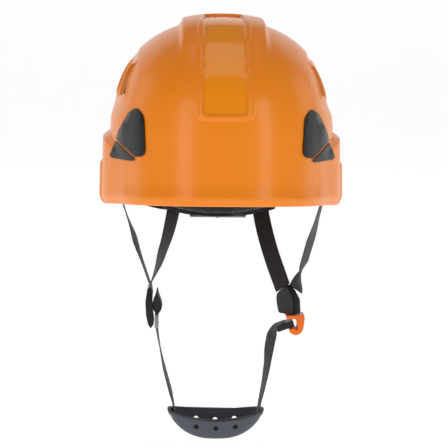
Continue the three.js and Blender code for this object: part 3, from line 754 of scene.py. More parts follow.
    def patch(self, name: str, phi: tuple[float, float], level: tuple[float, float], low: float, high: float,
              across: int, up: int, straight: bool = False) -> Piece:
        """A curved slab that follows the form between two offsets.

        Args:
            name: the piece's name.
            phi: its first and last direction in degrees.
            level: its lowest and highest level.
            low: offset of the inner face.
            high: offset of the outer face.
            across: steps round the shell.
            up: steps up the shell.
            straight: whether the outer face is pushed out level, as a cutter needs.

        Returns:
            The closed slab.
        """
        angles = np.radians(np.linspace(phi[0], phi[1], across + 1))
        levels = np.linspace(level[0], level[1], up + 1)
        grid_phi, grid_level = np.meshgrid(angles, levels)
        inner = self.layer(grid_phi, grid_level, low)
        outer = self.layer(grid_phi, grid_level, high)
        if straight:
            level_way = np.stack([np.sin(grid_phi), -np.cos(grid_phi), 0 * grid_phi], axis=-1)
            outer = inner + level_way * (high - low)
        inner = inner[::-1]
        around = np.concatenate([outer, inner, outer[:1]], axis=0)
        return grid_skin(name, around.transpose(1, 0, 2), caps=True)


def grown(outline: Outline, by: float) -> list[tuple[float, float]]:
    """Move an outline outwards by a distance, with its corners kept sharp."""
    count = len(outline)
    area = sum(a[0] * b[1] - b[0] * a[1] for a, b in zip(outline, [*outline[1:], outline[0]]))
    out = math.copysign(by, area)

    def edge(i: int) -> tuple[float, float]:
        a, b = outline[i % count], outline[(i + 1) % count]
        length = math.hypot(b[0] - a[0], b[1] - a[1])
        return (b[1] - a[1]) / length, -(b[0] - a[0]) / length

    made = []
    for i, (x, z) in enumerate(outline):
        m, n = edge(i - 1), edge(i)
        scale = out / (1 + m[0] * n[0] + m[1] * n[1])
        made.append((x + (m[0] + n[0]) * scale, z + (m[1] + n[1]) * scale))
    return made


@dataclass
class Shell:
    """The outer shell with its lamp clips, rear hooks and vent meshes."""

    form: ShellForm
    around: int = 440
    dome_rows: int = 116
    wall_rows: int = 40
    slot: tuple[float, float] = (5.6, 32.0)
    slot_x: float = 104.4
    slot_top: float = 8.0
    box_foot: float = -12.6
    clip_sink: float = 0.8
    clip_proud: float = 1.2
    gap: float = 0.4
    leaf: list[tuple[float, float]] = field(default_factory=lambda: [
        (76.4, 80.4), (71.5, 75.4), (69.8, 71), (68.5, 44.7), (69.6, 40.6), (72, 39), (77.5, 38), (95.2, 50.6),
        (93, 58), (89.2, 65.8), (83.5, 75.5)])
    corner: list[tuple[float, float]] = field(default_factory=lambda: [
        (96, 48.4), (101.5, 35), (99.5, 33.6), (79, 34.2), (78, 36)])
    hook: tuple[float, float, float, float] = (40, 64, 40, 66)
    hook_lip: float = 59.0

    def build(self) -> None:
        """Build the shell and everything let into it."""
        self.outer_shell()
        for hand, side in SIDES.items():
            self.lamp_clip(hand, side)
            self.lamp_hook(hand, side)
            for place in self.form.vents:
                self.vent_mesh(place, hand, side)

    def outer_shell(self) -> Piece:
        """The coated shell: one skin from the crown over the rim to the inner crown, then the cuts."""
        form = self.form
        angles = (np.arange(self.around) + 0.37) * 2 * math.pi / self.around
        t = np.linspace(0.012, 1, self.dome_rows) * math.pi / 2
        dome = 2 - np.sin(t) ** (2 / form.rise)
        wall = np.linspace(1, 0, self.wall_rows)[1:]
        outer_levels = np.concatenate([dome, wall])
        t_in = np.linspace(1, 0.03, 34) * math.pi / 2
        inner_levels = np.concatenate([np.linspace(0, 1, 16), (2 - np.sin(t_in) ** (2 / form.rise))[1:]])
        phi_out, level_out = np.meshgrid(angles, outer_levels)
        phi_in, level_in = np.meshgrid(angles, inner_levels)
        outer = form.outer(phi_out, level_out)
        eased = replace(form, skirt_edge=15.0, scoop_edge=13.0)
        inner = eased.layer(phi_in, level_in, -form.wall)
        lip = (outer[-1:] + inner[:1]) / 2
        lip[..., 2] -= 0.9
        shell = grid_skin("shell", np.concatenate([outer, lip, inner]), wrap=True, caps=True)
        boolean(shell, [self.ear_bosses()], "UNION")
        boolean(shell, self.cutters())
        self.mark_panel(shell)
        shade(shell, 32)
        return dress(shell, Finish.SHELL, replaces=["outer_shell"])

    def ear_bosses(self) -> Piece:
        """The blocks inside the rim that the accessory slots run through."""
        height = self.slot_top + 5 - self.box_foot
        made = []
        for side in SIDES.values():
            block = box("boss", (10.2, 2 * self.form.ear_half + 4, height),
                        (side * (self.slot_x - 1.4), 0, (self.slot_top + 5 + self.box_foot) / 2))
            finish_edges(block, 1.0)
            made.append(block)
        return joined("bosses", made)

    def cutters(self) -> list[Piece]:
        """Everything that is cut from the shell, as two objects whose parts don't overlap."""
        made, corners = [], []
        for side in SIDES.values():
            made.append(box("slot", (*self.slot, 40), (side * self.slot_x, 0, self.slot_top - 20)))
            for outline in self.form.vents.values():
                near, far = (-130, -60) if side < 0 else (60, 130)
                made.append(extruded("vent_cut", outline, "x", near, far, 2.5))
            for outline, group in ((self.leaf, made), (self.corner, corners)):
                group.append(self.let_in("seat", outline, side, (24, 76), (0.5, 1.22),
                                         -self.clip_sink - self.gap, 14, self.gap, (-125, -20)))
            made.append(self.let_in("hook_seat", self.hook_outline(), side, (130, 170), (0.6, 1.2),
                                    -self.clip_sink - self.gap, 14, self.gap, (60, 150)))
        return [joined("cutters", made), joined("corner_seats", corners)]

    def hook_outline(self) -> list[tuple[float, float]]:
        """The rear hook's plate as an outline."""
        inside, outside, foot, head = self.hook
        return [(inside, foot), (outside, foot), (outside, head), (inside, head)]

    def let_in(self, name: str, outline: Outline, side: int, span: tuple[float, float],
               levels: tuple[float, float], low: float, high: float, grow: float, reach: tuple[float, float],
               corner: float = 1.2, fine: tuple[int, int] = (30, 26)) -> Piece:
        """Cut a piece with a flat outline out of a slab that follows the shell.

        Args:
            name: the piece's name.
            outline: (x, z) points for the +X side.
            side: 1 for +X, -1 for -X.
            span: directions that the slab covers, in degrees.
            levels: levels that the slab covers.
            low: offset of its inner face.
            high: offset of its outer face.
            grow: distance that the outline is moved outwards.
            reach: where the outline's extrusion starts and ends along Y.
            corner: radius of the outline's corners.
            fine: steps of the slab across and up.

        Returns:
            The cut piece.
        """
        eased = replace(self.form, skirt_edge=11.0, scoop_edge=9.0)
        slab = eased.patch(name, (side * span[0], side * span[1]), levels, low, high, *fine, straight=high > 5)
        points = [(side * x, z) for x, z in (grown(outline, grow) if grow else outline)]
        boolean(slab, [extruded("outline", points, "y", *reach, corner)], "INTERSECT")
        return slab

    def mark_panel(self, shell: Piece) -> None:
        """Store how much of the glossy front panel each vertex lies on."""
        mesh = shell.data
        points = np.empty(len(mesh.vertices) * 3)
        mesh.vertices.foreach_get("co", points)
        points = points.reshape(-1, 3) / MM
        share = self.form.panel_share(points) * (points[:, 1] < 0) * (points[:, 2] > 70)
        mesh.attributes.new("panel", "FLOAT", "POINT").data.foreach_set("value", share.astype(np.float32))

    def lamp_clip(self, hand: str, side: int) -> None:
        """The sprung leaf with its raised front edge, and the fixed corner under the strap slit."""
        leaf = self.let_in(f"clip_leaf_{hand}", self.leaf, side, (24, 76), (0.5, 1.22), -self.clip_sink,
                           self.clip_proud, 0, (-125, -20), 1.4, (72, 60))
        finish_edges(leaf, 0.7, 3, 50)
        dress(leaf, Finish.BLACK, f"clip_{hand}_body", [f"lamp_clip_leaf_{hand}"])
        corner = self.let_in(f"clip_corner_{hand}", self.corner, side, (24, 76), (0.5, 1.22), -self.clip_sink,
                             self.clip_proud, 0, (-125, -20), 0.8, (72, 60))
        finish_edges(corner, 0.5, 3, 50)
        dress(corner, Finish.BLACK, "root", [f"lamp_clip_corner_{hand}"])

    def lamp_hook(self, hand: str, side: int) -> None:
        """The rear hook: a let-in plate with a tongue that points down."""
        inside, outside, foot, head = self.hook
        tongue = [(inside + 4, foot + 5), (outside - 4, foot + 5), (outside - 4, head), (inside + 4, head)]
        root = [(inside + 4, self.hook_lip), (outside - 4, self.hook_lip), (outside - 4, head),
                (inside + 4, head)]

        def cut(name: str, outline: Outline, low: float, high: float) -> Piece:
            return self.let_in(name, outline, side, (130, 170), (0.6, 1.2), low, high, 0,
                               (60, 150), 2.0, (40, 30))

        hook = cut(f"hook_{hand}", self.hook_outline(), -self.clip_sink, 1.4)
        boolean(hook, [cut("root", root, 0, 4.8)], "UNION")
        boolean(hook, [cut("tongue", tongue, 3.4, 4.8)], "UNION")
        finish_edges(hook, 0.4, 2, 50)
        dress(hook, Finish.BLACK, "root", [f"lamp_hook_{hand}"])

    def vent_mesh(self, place: str, hand: str, side: int) -> None:
        """A woven wire sheet behind a vent: two crossed sets of wires in a thin frame."""
        form = self.form
        outline = grown(form.vents[place], 3)
        ys = [y for y, _ in outline]
        zs = [z for _, z in outline]
        lattice = []
        for y in np.arange(min(ys), max(ys), 2.2):
            lattice.append([(y, z) for z in np.arange(min(zs), max(zs) + 1, 1.1)])
        for z in np.arange(min(zs), max(zs), 2.2):
            lattice.append([(y, z) for y in np.arange(min(ys), max(ys) + 1, 1.1)])
        made = []
        for index, run in enumerate(lattice):
            y, z = np.array(run).T
            keep = form.outline_distance(outline, y, z) < -0.3
            if keep.sum() < 3:
                continue
            y, z = y[keep], z[keep]
            wave = 0.35 * np.where(np.arange(len(y)) % 2, 1, -1) * (1 if index % 2 else -1)
            x = side * (self.wall_x(y, z) - form.wall - 2.6 + wave * 0.4)
            made.append(self.wire(np.stack([x, y, z], axis=1), 0.42))
        made.append(self.wire(self.loop(outline, side), 0.9, closed=True))
        mesh = joined(f"vent_wires_{place}_{hand}", made)
        shade(mesh, 60)
        dress(mesh, Finish.MESH, "root", [f"vent_mesh_{place}_{hand}"])

    def wall_x(self, y: np.ndarray, z: np.ndarray) -> np.ndarray:
        """Half-width of the plain form at a place on its side."""
        rise = self.form.rise
        share_z = (1 - ((z - self.form.equator) / (self.form.crown - self.form.equator)) ** rise) ** (1 / rise)
        along = np.where(y < 0, self.form.front, self.form.rear) * share_z
        across = self.form.half_width * share_z
        x = across * np.maximum(1 - (np.abs(y) / along) ** self.form.plan, 0.01) ** (1 / self.form.plan)
        scoop = self.form.scoop_depth * smooth(self.form.scoop_plane, self.form.scoop_plane + 2, x)
        return x - scoop * (1 - smooth(-16, 30, y))

    def loop(self, outline: Outline, side: int) -> np.ndarray:
        """Points round an outline on the inside of the wall."""
        points = []
        for (y1, z1), (y2, z2) in zip(outline, [*outline[1:], outline[0]]):
            for t in np.linspace(0, 1, 8, endpoint=False):
                points.append((mix(y1, y2, t), mix(z1, z2, t)))
        y, z = np.array(points).T
        return np.stack([side * (self.wall_x(y, z) - self.form.wall - 2.6), y, z], axis=1)

    @staticmethod
    def wire(points: np.ndarray, radius: float, closed: bool = False) -> Piece:
        """A thin six-sided tube along points in millimetres."""
        if closed:
            points = np.concatenate([points, points[:1]])
        ahead = unit(np.gradient(points, axis=0))
        side_way = unit(np.cross(ahead, np.array([0.9, 0.1, 0.3])))
        up_way = np.cross(side_way, ahead)
        turns = np.linspace(0, 2 * math.pi, 6, endpoint=False)
        round_it = (np.cos(turns)[None, :, None] * side_way[:, None]
                    + np.sin(turns)[None, :, None] * up_way[:, None])
        rings = points[:, None] + radius * round_it
        return grid_skin("wire", rings, wrap=True, caps=True)


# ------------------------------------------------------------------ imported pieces
def copied(node: str) -> Piece:
    """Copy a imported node's mesh into a new object, cleaned up for modelling."""
    source = frame["nodes"][node]
    piece = bpy.data.objects.new(f"{node}_finished", source.data.copy())
    piece.data.transform(source.matrix_world)
    bpy.context.scene.collection.objects.link(piece)

    def clean() -> None:
        bpy.ops.mesh.customdata_custom_splitnormals_clear()
        bpy.ops.mesh.remove_doubles(threshold=3e-6)
        bpy.ops.mesh.dissolve_limited(angle_limit=math.radians(1.0))
        bpy.ops.mesh.normals_make_consistent(inside=False)

    in_edit_mode(piece, clean)
    return piece


def refined(node: str, finish: Finish, body: str = "root", width: float = 0.6, angle: float = 34.0) -> Piece:
    """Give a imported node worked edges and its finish.

    Args:
        node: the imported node's name.
        finish: its finish.
        body: the body that it rides on.
        width: bevel width in millimetres.
        angle: edges sharper than this are rounded, in degrees.

    Returns:
        The finished piece.
    """
    piece = copied(node)
    finish_edges(piece, width, 2, angle)
    return dress(piece, finish, body, [node])


def inflated(node: str, body: str, voxel: float, travel: float) -> Piece:
    """Turn a packed pad into a soft one: remesh it, let cloth pressure round it, and smooth it.

    Args:
        node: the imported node's name.
        body: the body that it rides on.
        voxel: remesh size in millimetres.
        travel: furthest that the cover may move, in millimetres.

    Returns:
        The finished pad.
    """
    pad = copied(node)
    apply_modifier(pad, "REMESH", mode="VOXEL", voxel_size=voxel * MM)
    rest = coordinates(pad)
    pick(pad)
    cloth = pad.modifiers.new("Cloth", "CLOTH")
    cloth.settings.quality = 5
    cloth.settings.use_pressure = True
    cloth.settings.uniform_pressure_force = 4.0
    cloth.settings.effector_weights.gravity = 0.0
    cloth.point_cache.frame_start, cloth.point_cache.frame_end = 1, 20
    for number in range(1, 21):
        bpy.context.scene.frame_set(number)
    bpy.ops.object.modifier_apply(modifier=cloth.name)
    bpy.context.scene.frame_set(1)
    move = coordinates(pad) - rest
    size = np.maximum(np.linalg.norm(move, axis=1, keepdims=True), 1e-9)
    pad.data.vertices.foreach_set("co", (rest + move * np.minimum(1, travel * MM / size)).ravel())
    apply_modifier(pad, "SUBSURF", levels=1)
    shade(pad, 80)
    dress(pad, Finish.PADDING, body, [node])
    return pad


def coordinates(piece: Piece) -> np.ndarray:
    """A mesh's vertices as an array, in metres."""
    points = np.empty(len(piece.data.vertices) * 3)
    piece.data.vertices.foreach_get("co", points)
    return points.reshape(-1, 3)


# ------------------------------------------------------------------ webbing
def through(stops: Sequence[Sequence[float]], steps: int) -> tuple[np.ndarray, np.ndarray]:
    """Run a centripetal curve through stops of [x, y, z, heading].

    Args:
        stops: points in millimetres, each with the heading of the strap's width in degrees.
        steps: number of steps along the curve.

    Returns:
        The curve's points and its headings in radians.
    """
    table = np.array(stops, float)
    before = 2 * table[0, :3] - table[1, :3]
    beyond = 2 * table[-1, :3] - table[-2, :3]
    points = np.concatenate([[before], table[:, :3], [beyond]])
    made, headings = [], []
    for step in range(steps + 1):
        spot = step / steps * (len(table) - 1)
        low = min(int(spot), len(table) - 2)
        t = spot - low
        p = points[low:low + 4]
        gaps = np.sqrt(np.linalg.norm(np.diff(p, axis=0), axis=1))
        first, middle, last = gaps
        start = ((p[1] - p[0]) / first - (p[2] - p[0]) / (first + middle) + (p[2] - p[1]) / middle) * middle
        end = ((p[2] - p[1]) / middle - (p[3] - p[1]) / (middle + last) + (p[3] - p[2]) / last) * middle
        made.append(p[1] * (2 * t ** 3 - 3 * t ** 2 + 1) + p[2] * (3 * t ** 2 - 2 * t ** 3)
                    + start * (t ** 3 - 2 * t ** 2 + t) + end * (t ** 3 - t ** 2))
        eased = t * t * (3 - 2 * t)
        headings.append(math.radians(mix(table[low, 3], table[low + 1, 3], 0.5 * (t + eased))))
    return np.array(made), np.array(headings)


def ribbon(name: str, points: np.ndarray, wide_way: np.ndarray, width: float, thick: float = 1.3,
           crown: float = 0.25) -> Piece:
    """Sweep a flat strap with rounded selvages along points.

    Args:
        name: the piece's name.
        points: the centreline in millimetres.
        wide_way: directions of the strap's width.
        width: the strap's width.
        thick: its thickness.
        crown: how far its faces dish in across the width.

    Returns:
        The strap, with a UV map in millimetres.
    """
    ahead = unit(np.gradient(points, axis=0))
    face = unit(np.cross(ahead, wide_way))
    wide = np.cross(face, ahead)
    across = np.concatenate([np.linspace(-0.5, 0.5, 9), np.linspace(0.5, -0.5, 9)])
    side = np.concatenate([np.ones(9), -np.ones(9)])
    edge = 1 - np.abs(across * 2) ** 10 * 0.55
    lift = side * thick / 2 * edge - crown * (1 - (across * 2) ** 2) * np.where(side > 0, 1, 1) * 0.4
    sideways = wide[:, None] * (across * width)[None, :, None]
    rings = points[:, None] + sideways + face[:, None] * lift[None, :, None]
    strap = grid_skin(name, rings, wrap=True, caps=True)
    shade(strap, 60)
    return strap


def strap_along(name: str, stops: Sequence[Sequence[float]], width: float = 16.0, steps: int = 64) -> Piece:
    """A strap through stops of [x, y, z, heading]."""
    points, headings = through(stops, steps)
    wide = np.stack([np.cos(headings), np.sin(headings), np.zeros(len(headings))], axis=1)
    return ribbon(name, points, wide, width)


@dataclass
class Cradle:
    """Everything inside the shell: liner, cradle straps, hangers, headband and nape adjuster."""

    form: ShellForm
    liner_thick: float = 14.0
    liner_clear: float = 1.4
    liner_reach: float = 0.52
    arch_inset: float = 16.0
    arch_foot: float = 34.0
    arch_top: float = 126.0
    strap_width: float = 20.0
    strap_step: float = 2.1

    def build(self) -> None:
        """Build all the pieces."""
        self.liner()
        arches = {"front_to_back": 0, "right_to_left": 52, "left_to_right": -52}
        for index, (name, heading) in enumerate(arches.items()):
            self.arch(name, heading, index * self.strap_step)
        hangers = {"front": 0, "rear": 180, "front_left": 52, "rear_left": 128, "front_right": -52,
                   "rear_right": -128}
        for place, degrees in hangers.items():
            self.tab(f"cradle_hanger_{place}", degrees, 12, (0.62, 0.98), -self.form.wall - 4.2,
                     -self.form.wall - 1.4)
        for hand, side in SIDES.items():
            for place, degrees in (("front", 68), ("rear", 162)):
                self.tab(f"strap_anchor_{place}_{hand}", side * degrees, 11, (0.2, 0.55),
                         -self.form.wall - 4.4, -self.form.wall - 1.6)
            refined(f"rack_arm_{hand}", Finish.BLACK, f"arm_{hand}_body", 0.35)
            refined(f"temple_pin_{hand}", Finish.BLACK, "root", 0.5)
        refined("headband", Finish.BLACK, "root", 0.5, 40)
        refined("ratchet_housing", Finish.BLACK, "nape_body", 1.0)
        refined("ratchet_cover", Finish.BLACK, "nape_body", 0.6)
        refined("nape_cradle", Finish.BLACK, "nape_body", 0.6, 40)
        refined("adjuster_knob", Finish.GREY, "knob_body", 0.7, 40)
        refined("pinion", Finish.GREY, "knob_body", 0.15)
        inflated("sweat_pad", "root", 1.9, 1.0)
        inflated("nape_pad", "nape_body", 1.9, 1.0)
        inflated("crown_pad", "root", 2.4, 1.6)

    def liner(self) -> None:
        """The foam dome under the crown."""
        angles = np.linspace(0, 2 * math.pi, 128, endpoint=False)
        shares = np.linspace(0.03, self.liner_reach, 26)
        phi, inner = np.meshgrid(angles, 2 - shares)
        skin = np.concatenate([self.form.layer(phi, inner, -self.form.wall - self.liner_thick),
                               self.form.layer(phi, inner[::-1], -self.form.wall - self.liner_clear)])
        liner = grid_skin("liner", skin, wrap=True, caps=True)
        finish_edges(liner, 1.5, 3, 50)
        dress(liner, Finish.FOAM, "root", ["energy_liner"])

    def arch(self, name: str, degrees: float, drop: float) -> None:
        """One strap of the cradle, from hanger to hanger over the head."""
        heading = math.radians(degrees)
        t = np.linspace(0.06, 0.94, 61)
        angle = math.pi * (1 - t)
        along = -(self.form.plan_radius(np.array(heading)) - self.arch_inset) * np.cos(angle)
        z = self.arch_foot + (self.arch_top - drop - self.arch_foot) * np.sin(angle)
        points = np.stack([math.sin(heading) * along, -math.cos(heading) * along, z], axis=1)
        wide = np.tile([math.cos(heading), math.sin(heading), 0.0], (len(points), 1))
        strap = ribbon(f"cradle_{name}", points, wide, self.strap_width)
        dress(strap, Finish.CRADLE, "root", [f"cradle_strap_{name}"])

    def tab(self, node: str, degrees: float, half: float, levels: tuple[float, float], low: float,
            high: float) -> None:
        """A plastic tab that follows the inside of the shell."""
        reach = math.degrees(half / float(self.form.plan_radius(np.array(math.radians(degrees)))))
        tab = self.form.patch(f"{node}_tab", (degrees - reach, degrees + reach), levels, low, high, 12, 12)
        finish_edges(tab, 0.8, 3, 50)
        dress(tab, Finish.BLACK, "root", [node])


@dataclass
class Harness:
    """The four-strap chin harness with its dividers, ladder lock, buckle and cup."""

    form: ShellForm
    fork_z: float = -94.0
    forks: dict[str, tuple[float, float, float]] = field(default_factory=lambda: {
        "right": (-65.0, 0.0, 90.0), "left": (66.0, 0.0, 135.0)})
    headings: dict[str, tuple[float, ...]] = field(default_factory=lambda: {
        "front_right": (-76, -87, -103, -93, -90), "rear_right": (-162, -128, -122, -112, -90),
        "front_left": (80, 72, 58, 60, 135), "rear_left": (162, 168, 158, 142, 135)})
    cup_half: float = 46.0
    cup_depth: float = 39.0
    cup_rim: float = -215.0
    cup_dip: float = 5.0
    cup_low: float = -236.0
    cup_wall: float = 2.6
    cup_x: float = -2.6
    cup_y: float = -1.0

    def build(self) -> None:
        """Build all the pieces."""
        for hand, side in SIDES.items():
            self.side_straps(hand, side)
        self.right_divider()
        self.left_divider()
        self.right_adjuster()
        self.buckle()
        self.chin_straps()
        self.chin_cup()

    def side_straps(self, hand: str, side: int) -> None:
        """The front and rear straps of one side, from their anchors down to the divider."""
        x, y, turn = self.forks[hand]
        turn = math.radians(turn)
        along = np.array([math.cos(turn), math.sin(turn), 0])
        out = np.array([math.sin(turn), -math.cos(turn), 0]) * 1.3
        foot = np.array([x, y, self.fork_z])
        for place, degrees, level, drop, end, sway, bow in (
                ("front", 68, 0.3, 7.4, foot - along * 7 + out, (-2, -3), 0),
                ("rear", 162, 0.4, 8.6, foot + along * 7 - out, (3, 4), 5.5)):
            heading_in = np.array(math.radians(side * degrees))
            top = self.form.layer(heading_in, np.array(level), -self.form.wall - drop)
            spots = [(0, 0), (0.3, sway[0]), (0.52, sway[0]), (0.74, sway[1]), (1, 0)]
            bent = [-side * bow * math.sin(math.pi * share) for share, _ in spots]
            stops = [[*(mix(top, end, share) + np.array([inward, shift, 0])), heading]
                     for (share, shift), inward, heading in zip(spots, bent, self.headings[f"{place}_{hand}"])]
            strap = strap_along(f"{place}_{hand}_webbing", stops, 16, 72)
            dress(strap, Finish.WEBBING, "root", [f"{place}_strap_{hand}"])

    def placed(self, piece: Piece, hand: str) -> Piece:
        """Move a piece drawn at the origin, with its width along Y, to a side's fork."""
        x, y, turn = self.forks[hand]
        piece.data.transform(Matrix.Translation(Vector((x, y, self.fork_z)) * MM)
                             @ Matrix.Rotation(math.radians(turn - 90), 4, "Z"))
        return piece

    def right_divider(self) -> None:
        """Black divider seen along its edge, curved in towards the lock."""
        outline = [(-2.6, 1), (1.2, 3), (2.2, -4), (1.6, -14), (2.6, -24), (3.4, -33), (0.4, -37.5),
                   (-2.4, -33), (-4.2, -24), (-4.8, -12)]
        plate = extruded("right_divider_plate", outline, "y", -11, 11, 1.2)
        windows = [box("window", (20, 16, 3.2), (0, 0, z)) for z in (-6, -31)]
        boolean(plate, windows)
        finish_edges(plate, 0.7, 3, 40)
        dress(self.placed(plate, "right"), Finish.BLACK, "root", ["strap_divider_right"])

    def left_divider(self) -> None:
        """Shield-shaped divider: a black plate with a stitched webbing patch over its inner face."""
        shield = [(-1, 3.4), (-6.5, -1), (-12.6, -9), (-13.6, -22.6), (-7, -24.4), (10.6, -24.2), (13.2, -14),
                  (13.8, -6), (8, -1), (3.4, 3.2)]
        plate = extruded("left_divider_plate", shield, "x", -1.0, 1.4, 2.0)
        finish_edges(plate, 0.5, 3, 40)
        dress(self.placed(plate, "left"), Finish.BLACK, "root", ["strap_divider_left"])
        patch = [(1.6, 2.0), (-3.6, -4), (-7.2, -12), (-6.8, -24.6), (11.2, -24.6), (13.9, -14), (14.2, -7),
                 (9, -2)]
        cover = extruded("left_divider_patch", patch, "x", -2.8, -1.05, 2.4)
        finish_edges(cover, 0.6, 3, 40)
        in_edit_mode(cover, lambda: bpy.ops.uv.cube_project(cube_size=MM))
        dress(self.placed(cover, "left"), Finish.WEBBING, "root")

    def right_adjuster(self) -> None:
        """The teardrop of folded webbing and the ladder lock under it."""
        t = np.linspace(0, 1, 40)
        half = 3.9 * np.sin(math.pi * t ** 1.6) ** 1.05
        z = -95.2 + (-118.6 + 95.2) * t
        loop = np.concatenate([np.stack([-58.6 - half, 0 * t, z], axis=1),
                               np.stack([-58.6 + half, 0 * t, z], axis=1)[::-1]])
        wide = np.tile([0.0, 1.0, 0.0], (len(loop), 1))
        webbing = ribbon("folded_webbing", loop, wide, 16)
        inner = [(-58.6 - h * 0.86, q) for h, q in zip(half[3:-3:3], z[3:-3:3])]
        inner += [(-58.6 + h * 0.86, q) for h, q in zip(half[3:-3:3], z[3:-3:3])][::-1]
        core = extruded("folded_webbing_core", inner, "y", -6.8, 6.8)
        in_edit_mode(core, lambda: bpy.ops.uv.cube_project(cube_size=MM))
        webbing = joined("folded_webbing", [webbing, core])
        dress(webbing, Finish.WEBBING, "root", ["strap_loop_right"])
        bars = [rod("bar", 1.35, 22, (-59.6 + 0.35 * k, 0, -120.2 - 2.9 * k), "y", 20) for k in range(4)]
        cheeks = [box("cheek", (3.4, 2.4, 12), (-59.2, way * 11, -124.4)) for way in (-1, 1)]
        lock = joined("ladder_lock_bars", bars + cheeks)
        finish_edges(lock, 0.4, 2, 40)
        # The bars take the light grey finish as a painted highlight: the real bars are black plastic, and the
        # grey stands in for light glinting off them.
        dress(lock, Finish.GREY, "root", ["ladder_lock"])

    def buckle(self) -> None:
        """Orange socket open towards the chin, and the black tongue that slides out of it."""
        outline = [(62.6, -118.6), (80.2, -118.4), (80.4, -121), (79.2, -131), (77, -135.4), (72.4, -137.4),
                   (69, -136.4), (66.2, -134.4), (66.4, -131.6), (69.4, -130.6), (72.2, -131.4), (73.4, -133),
                   (74, -128), (71.6, -121.8), (63, -121.6)]
        socket = extruded("socket", outline, "y", -10, 10, 0.7)
        finish_edges(socket, 0.9, 3, 40)
        dress(socket, Finish.BUCKLE, "root", ["buckle_socket"])
        refined("buckle_tongue", Finish.BLACK, "buckle_tongue_body", 0.9)

    def chin_straps(self) -> None:
        """The strap on each side down to the cup; the left one leaves the tongue."""
        right = [[-59.6, 0, -129, -80], [-57.6, 0, -142, -84], [-55, 0, -156, -89], [-51.4, -1, -172, -96],
                 [-46, -2, -192, -98], [-43.2, -1, -204, -92], [-41.2, -1, -218, -88]]
        strap = strap_along("right_chin_webbing", right, 16, 96)
        dress(strap, Finish.WEBBING, "root", ["chin_strap_right"])
        left = [[63, 0, -125.5, -96], [58.4, 0, -127.2, -90], [53.4, 0, -131, -76], [49.8, 0, -140, -60],
                [47.6, 0, -152, -62], [45.8, -1, -168, -72], [42.4, -2, -188, -80], [39.6, -1, -202, -84],
                [37, -1, -218, -88]]
        strap = strap_along("left_chin_webbing", left, 16, 128)
        dress(strap, Finish.WEBBING, "", ["chin_strap_upper_left", "chin_strap_lower_left"])
        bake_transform(strap)

    def cup_ring(self, share: float, inset: float) -> np.ndarray:
        """One ring of the cup; share runs from 0 at the rim to 1 at the bottom."""
        angle = np.linspace(0, 2 * math.pi, 128, endpoint=False)
        girth = math.sqrt(max(0.0, 1 - (0.98 * max(share, 0)) ** 1.6))
        lip = 0.9 * (1 - float(smooth(0.16, 0.24, share))) if inset == 0 else 0.0
        power = 2 / 3
        c, s = np.cos(angle), np.sin(angle)
        x = (self.cup_half - 0.9 - inset + lip) * np.sign(c) * np.abs(c) ** power * mix(0.3, 1, girth)
        y = (self.cup_depth / 2 - 0.9 - inset + lip) * np.sign(s) * np.abs(s) ** power
        y = y * mix(0.6, 1, girth ** 0.5)
        middle = 1 - np.minimum(1, np.abs(x / self.cup_half)) ** 2
        rise = self.cup_dip * (1 - middle) - 3.2 * middle * smooth(0, 0.9, -s) * (1 - min(1, max(share, 0)))
        z = mix(self.cup_rim, self.cup_low + inset, share) + rise
        return np.stack([self.cup_x + x, self.cup_y + y, z], axis=1)

    def chin_cup(self) -> None:
        """Boat-shaped rubber cup with a lip round its rim and three holes in each long wall."""
        lip, step, wall = np.linspace(0, 0.14, 4), np.linspace(0.16, 0.24, 6), np.linspace(0.3, 0.9, 12)
        shares = np.concatenate([lip, step, wall, [0.95, 1]])
        outer = grid_skin("cup", np.stack([self.cup_ring(s, 0) for s in shares]), wrap=True, caps=True)
        inside = [self.cup_ring(s, self.cup_wall) for s in [-0.3, *np.linspace(0, 1, 16)]]
        hollow = grid_skin("hollow", np.stack(inside), wrap=True, caps=True)
        boolean(outer, [hollow])
        spots = [(at, -224.6 + 5 * (at / 46) ** 2 - 0.6 * (at == 0)) for at in (-18.5, 0, 18.5)]
        holes = [rod("hole", 2.5, 80, (self.cup_x + at, self.cup_y, z), "y", 40) for at, z in spots]
        boolean(outer, [joined("holes", holes)])
        finish_edges(outer, 0.45, 3, 45)
        dress(outer, Finish.RUBBER, "chin_cup_body", ["chin_cup"])


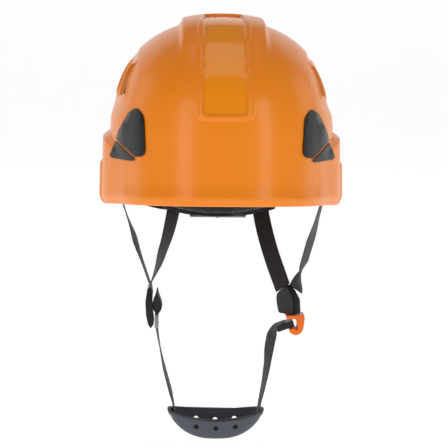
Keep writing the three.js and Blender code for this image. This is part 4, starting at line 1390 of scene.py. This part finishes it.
# ------------------------------------------------------------------ studio
@dataclass
class Studio:
    """Camera, white sweep and soft lights."""

    distance: float = 1.5
    azimuth: float = 1.5
    elevation: float = 6.0
    roll: float = 0.6
    lens: float = 128.6
    floor: float = -0.30
    sweep_start: float = 2600.0
    sweep_bend: float = 900.0
    sweep_reach: float = 4000.0

    def build(self) -> None:
        """Set up the studio."""
        self.camera()
        self.sweep()
        self.lights()
        scene = bpy.context.scene
        scene.view_settings.view_transform = "Standard"
        scene.view_settings.look = "None"

    def camera(self) -> None:
        """Place the camera a little above the rim, looking at the helmet's front."""
        az, el, roll = (math.radians(v) for v in (self.azimuth, self.elevation, self.roll))
        outward = Vector((-math.sin(az) * math.cos(el), -math.cos(az) * math.cos(el), math.sin(el)))
        place = outward * self.distance
        back = place.normalized()
        right = Vector((0, 0, 1)).cross(back).normalized()
        right = Matrix.Rotation(roll, 3, back) @ right
        target = right * 0.0032 - back.cross(right) * 0.0329
        back = (place - target).normalized()
        right = (right - back * right.dot(back)).normalized()
        up = back.cross(right)
        data = bpy.data.cameras.new("camera")
        data.lens, data.sensor_width = self.lens, 36
        data.clip_start, data.clip_end = 0.1, 20
        camera = bpy.data.objects.new("camera", data)
        bpy.context.scene.collection.objects.link(camera)
        camera.matrix_world = Matrix.Translation(place) @ Matrix((right, up, back)).transposed().to_4x4()
        bpy.context.scene.camera = camera

    def sweep(self) -> None:
        """A white floor that curves up into the backdrop, far enough back for a camera behind the helmet."""
        reach, start, bend = self.sweep_reach, self.sweep_start, self.sweep_bend
        side = np.linspace(-reach, reach, 9)
        turn = np.linspace(0, math.pi / 2, 13)
        y = np.concatenate([[-reach], start + bend * np.sin(turn), [start + bend]])
        z = np.concatenate([[0], bend - bend * np.cos(turn), [reach]]) + self.floor / MM
        rings = np.stack([np.stack([side, np.full(9, a), np.full(9, b)], axis=1) for a, b in zip(y, z)])
        sweep = grid_skin("sweep", rings)
        shade(sweep, 60)
        graph = Graph("sweep_white")
        graph.shine(Base_Color=(0.96, 0.96, 0.96, 1), Roughness=0.9, Emission_Color=(1, 1, 1, 1),
                    Emission_Strength=0.5)
        sweep.data.materials.append(graph.material)

    def lights(self) -> None:
        """White surroundings and four softboxes."""
        world = bpy.context.scene.world or bpy.data.worlds.new("studio")
        bpy.context.scene.world = world
        world.use_nodes = True
        shader = world.node_tree.nodes["Background"]
        shader.inputs["Color"].default_value = (1, 1, 1, 1)
        shader.inputs["Strength"].default_value = 0.27
        self.softbox("left", (-1.0, -1.35, 0.35), (0.5, 1.3), 4.6)
        self.softbox("right", (1.05, -1.25, 0.45), (0.4, 1.1), 3.8)
        self.softbox("top", (0.0, -0.25, 1.7), (1.1, 1.1), 3.6)
        self.softbox("rim", (1.6, 0.5, 0.3), (0.7, 1.6), 3)
        self.softbox("rim_left", (-1.6, 0.5, 0.3), (0.7, 1.6), 3)

    @staticmethod
    def softbox(name: str, place: Sequence[float], size: Sequence[float], power: float) -> None:
        """An area light aimed at the helmet."""
        data = bpy.data.lights.new(name, "AREA")
        data.shape, data.size, data.size_y, data.energy = "RECTANGLE", size[0], size[1], power
        light = bpy.data.objects.new(name, data)
        bpy.context.scene.collection.objects.link(light)
        light.location = place
        aim = Vector((0, 0, 0.03)) - Vector(place)
        light.rotation_euler = aim.to_track_quat("-Z", "Y").to_euler()


@dataclass
class Helmet:
    """The whole helmet."""

    form: ShellForm = field(default_factory=ShellForm)

    def build(self) -> None:
        """Build every sub-assembly."""
        Shell(self.form).build()
        Cradle(self.form).build()
        Harness(self.form).build()


def main() -> None:
    """Build the helmet and its studio."""
    Helmet().build()
    Studio().build()
    clear_selection()


if __name__ == "__main__":
    main()
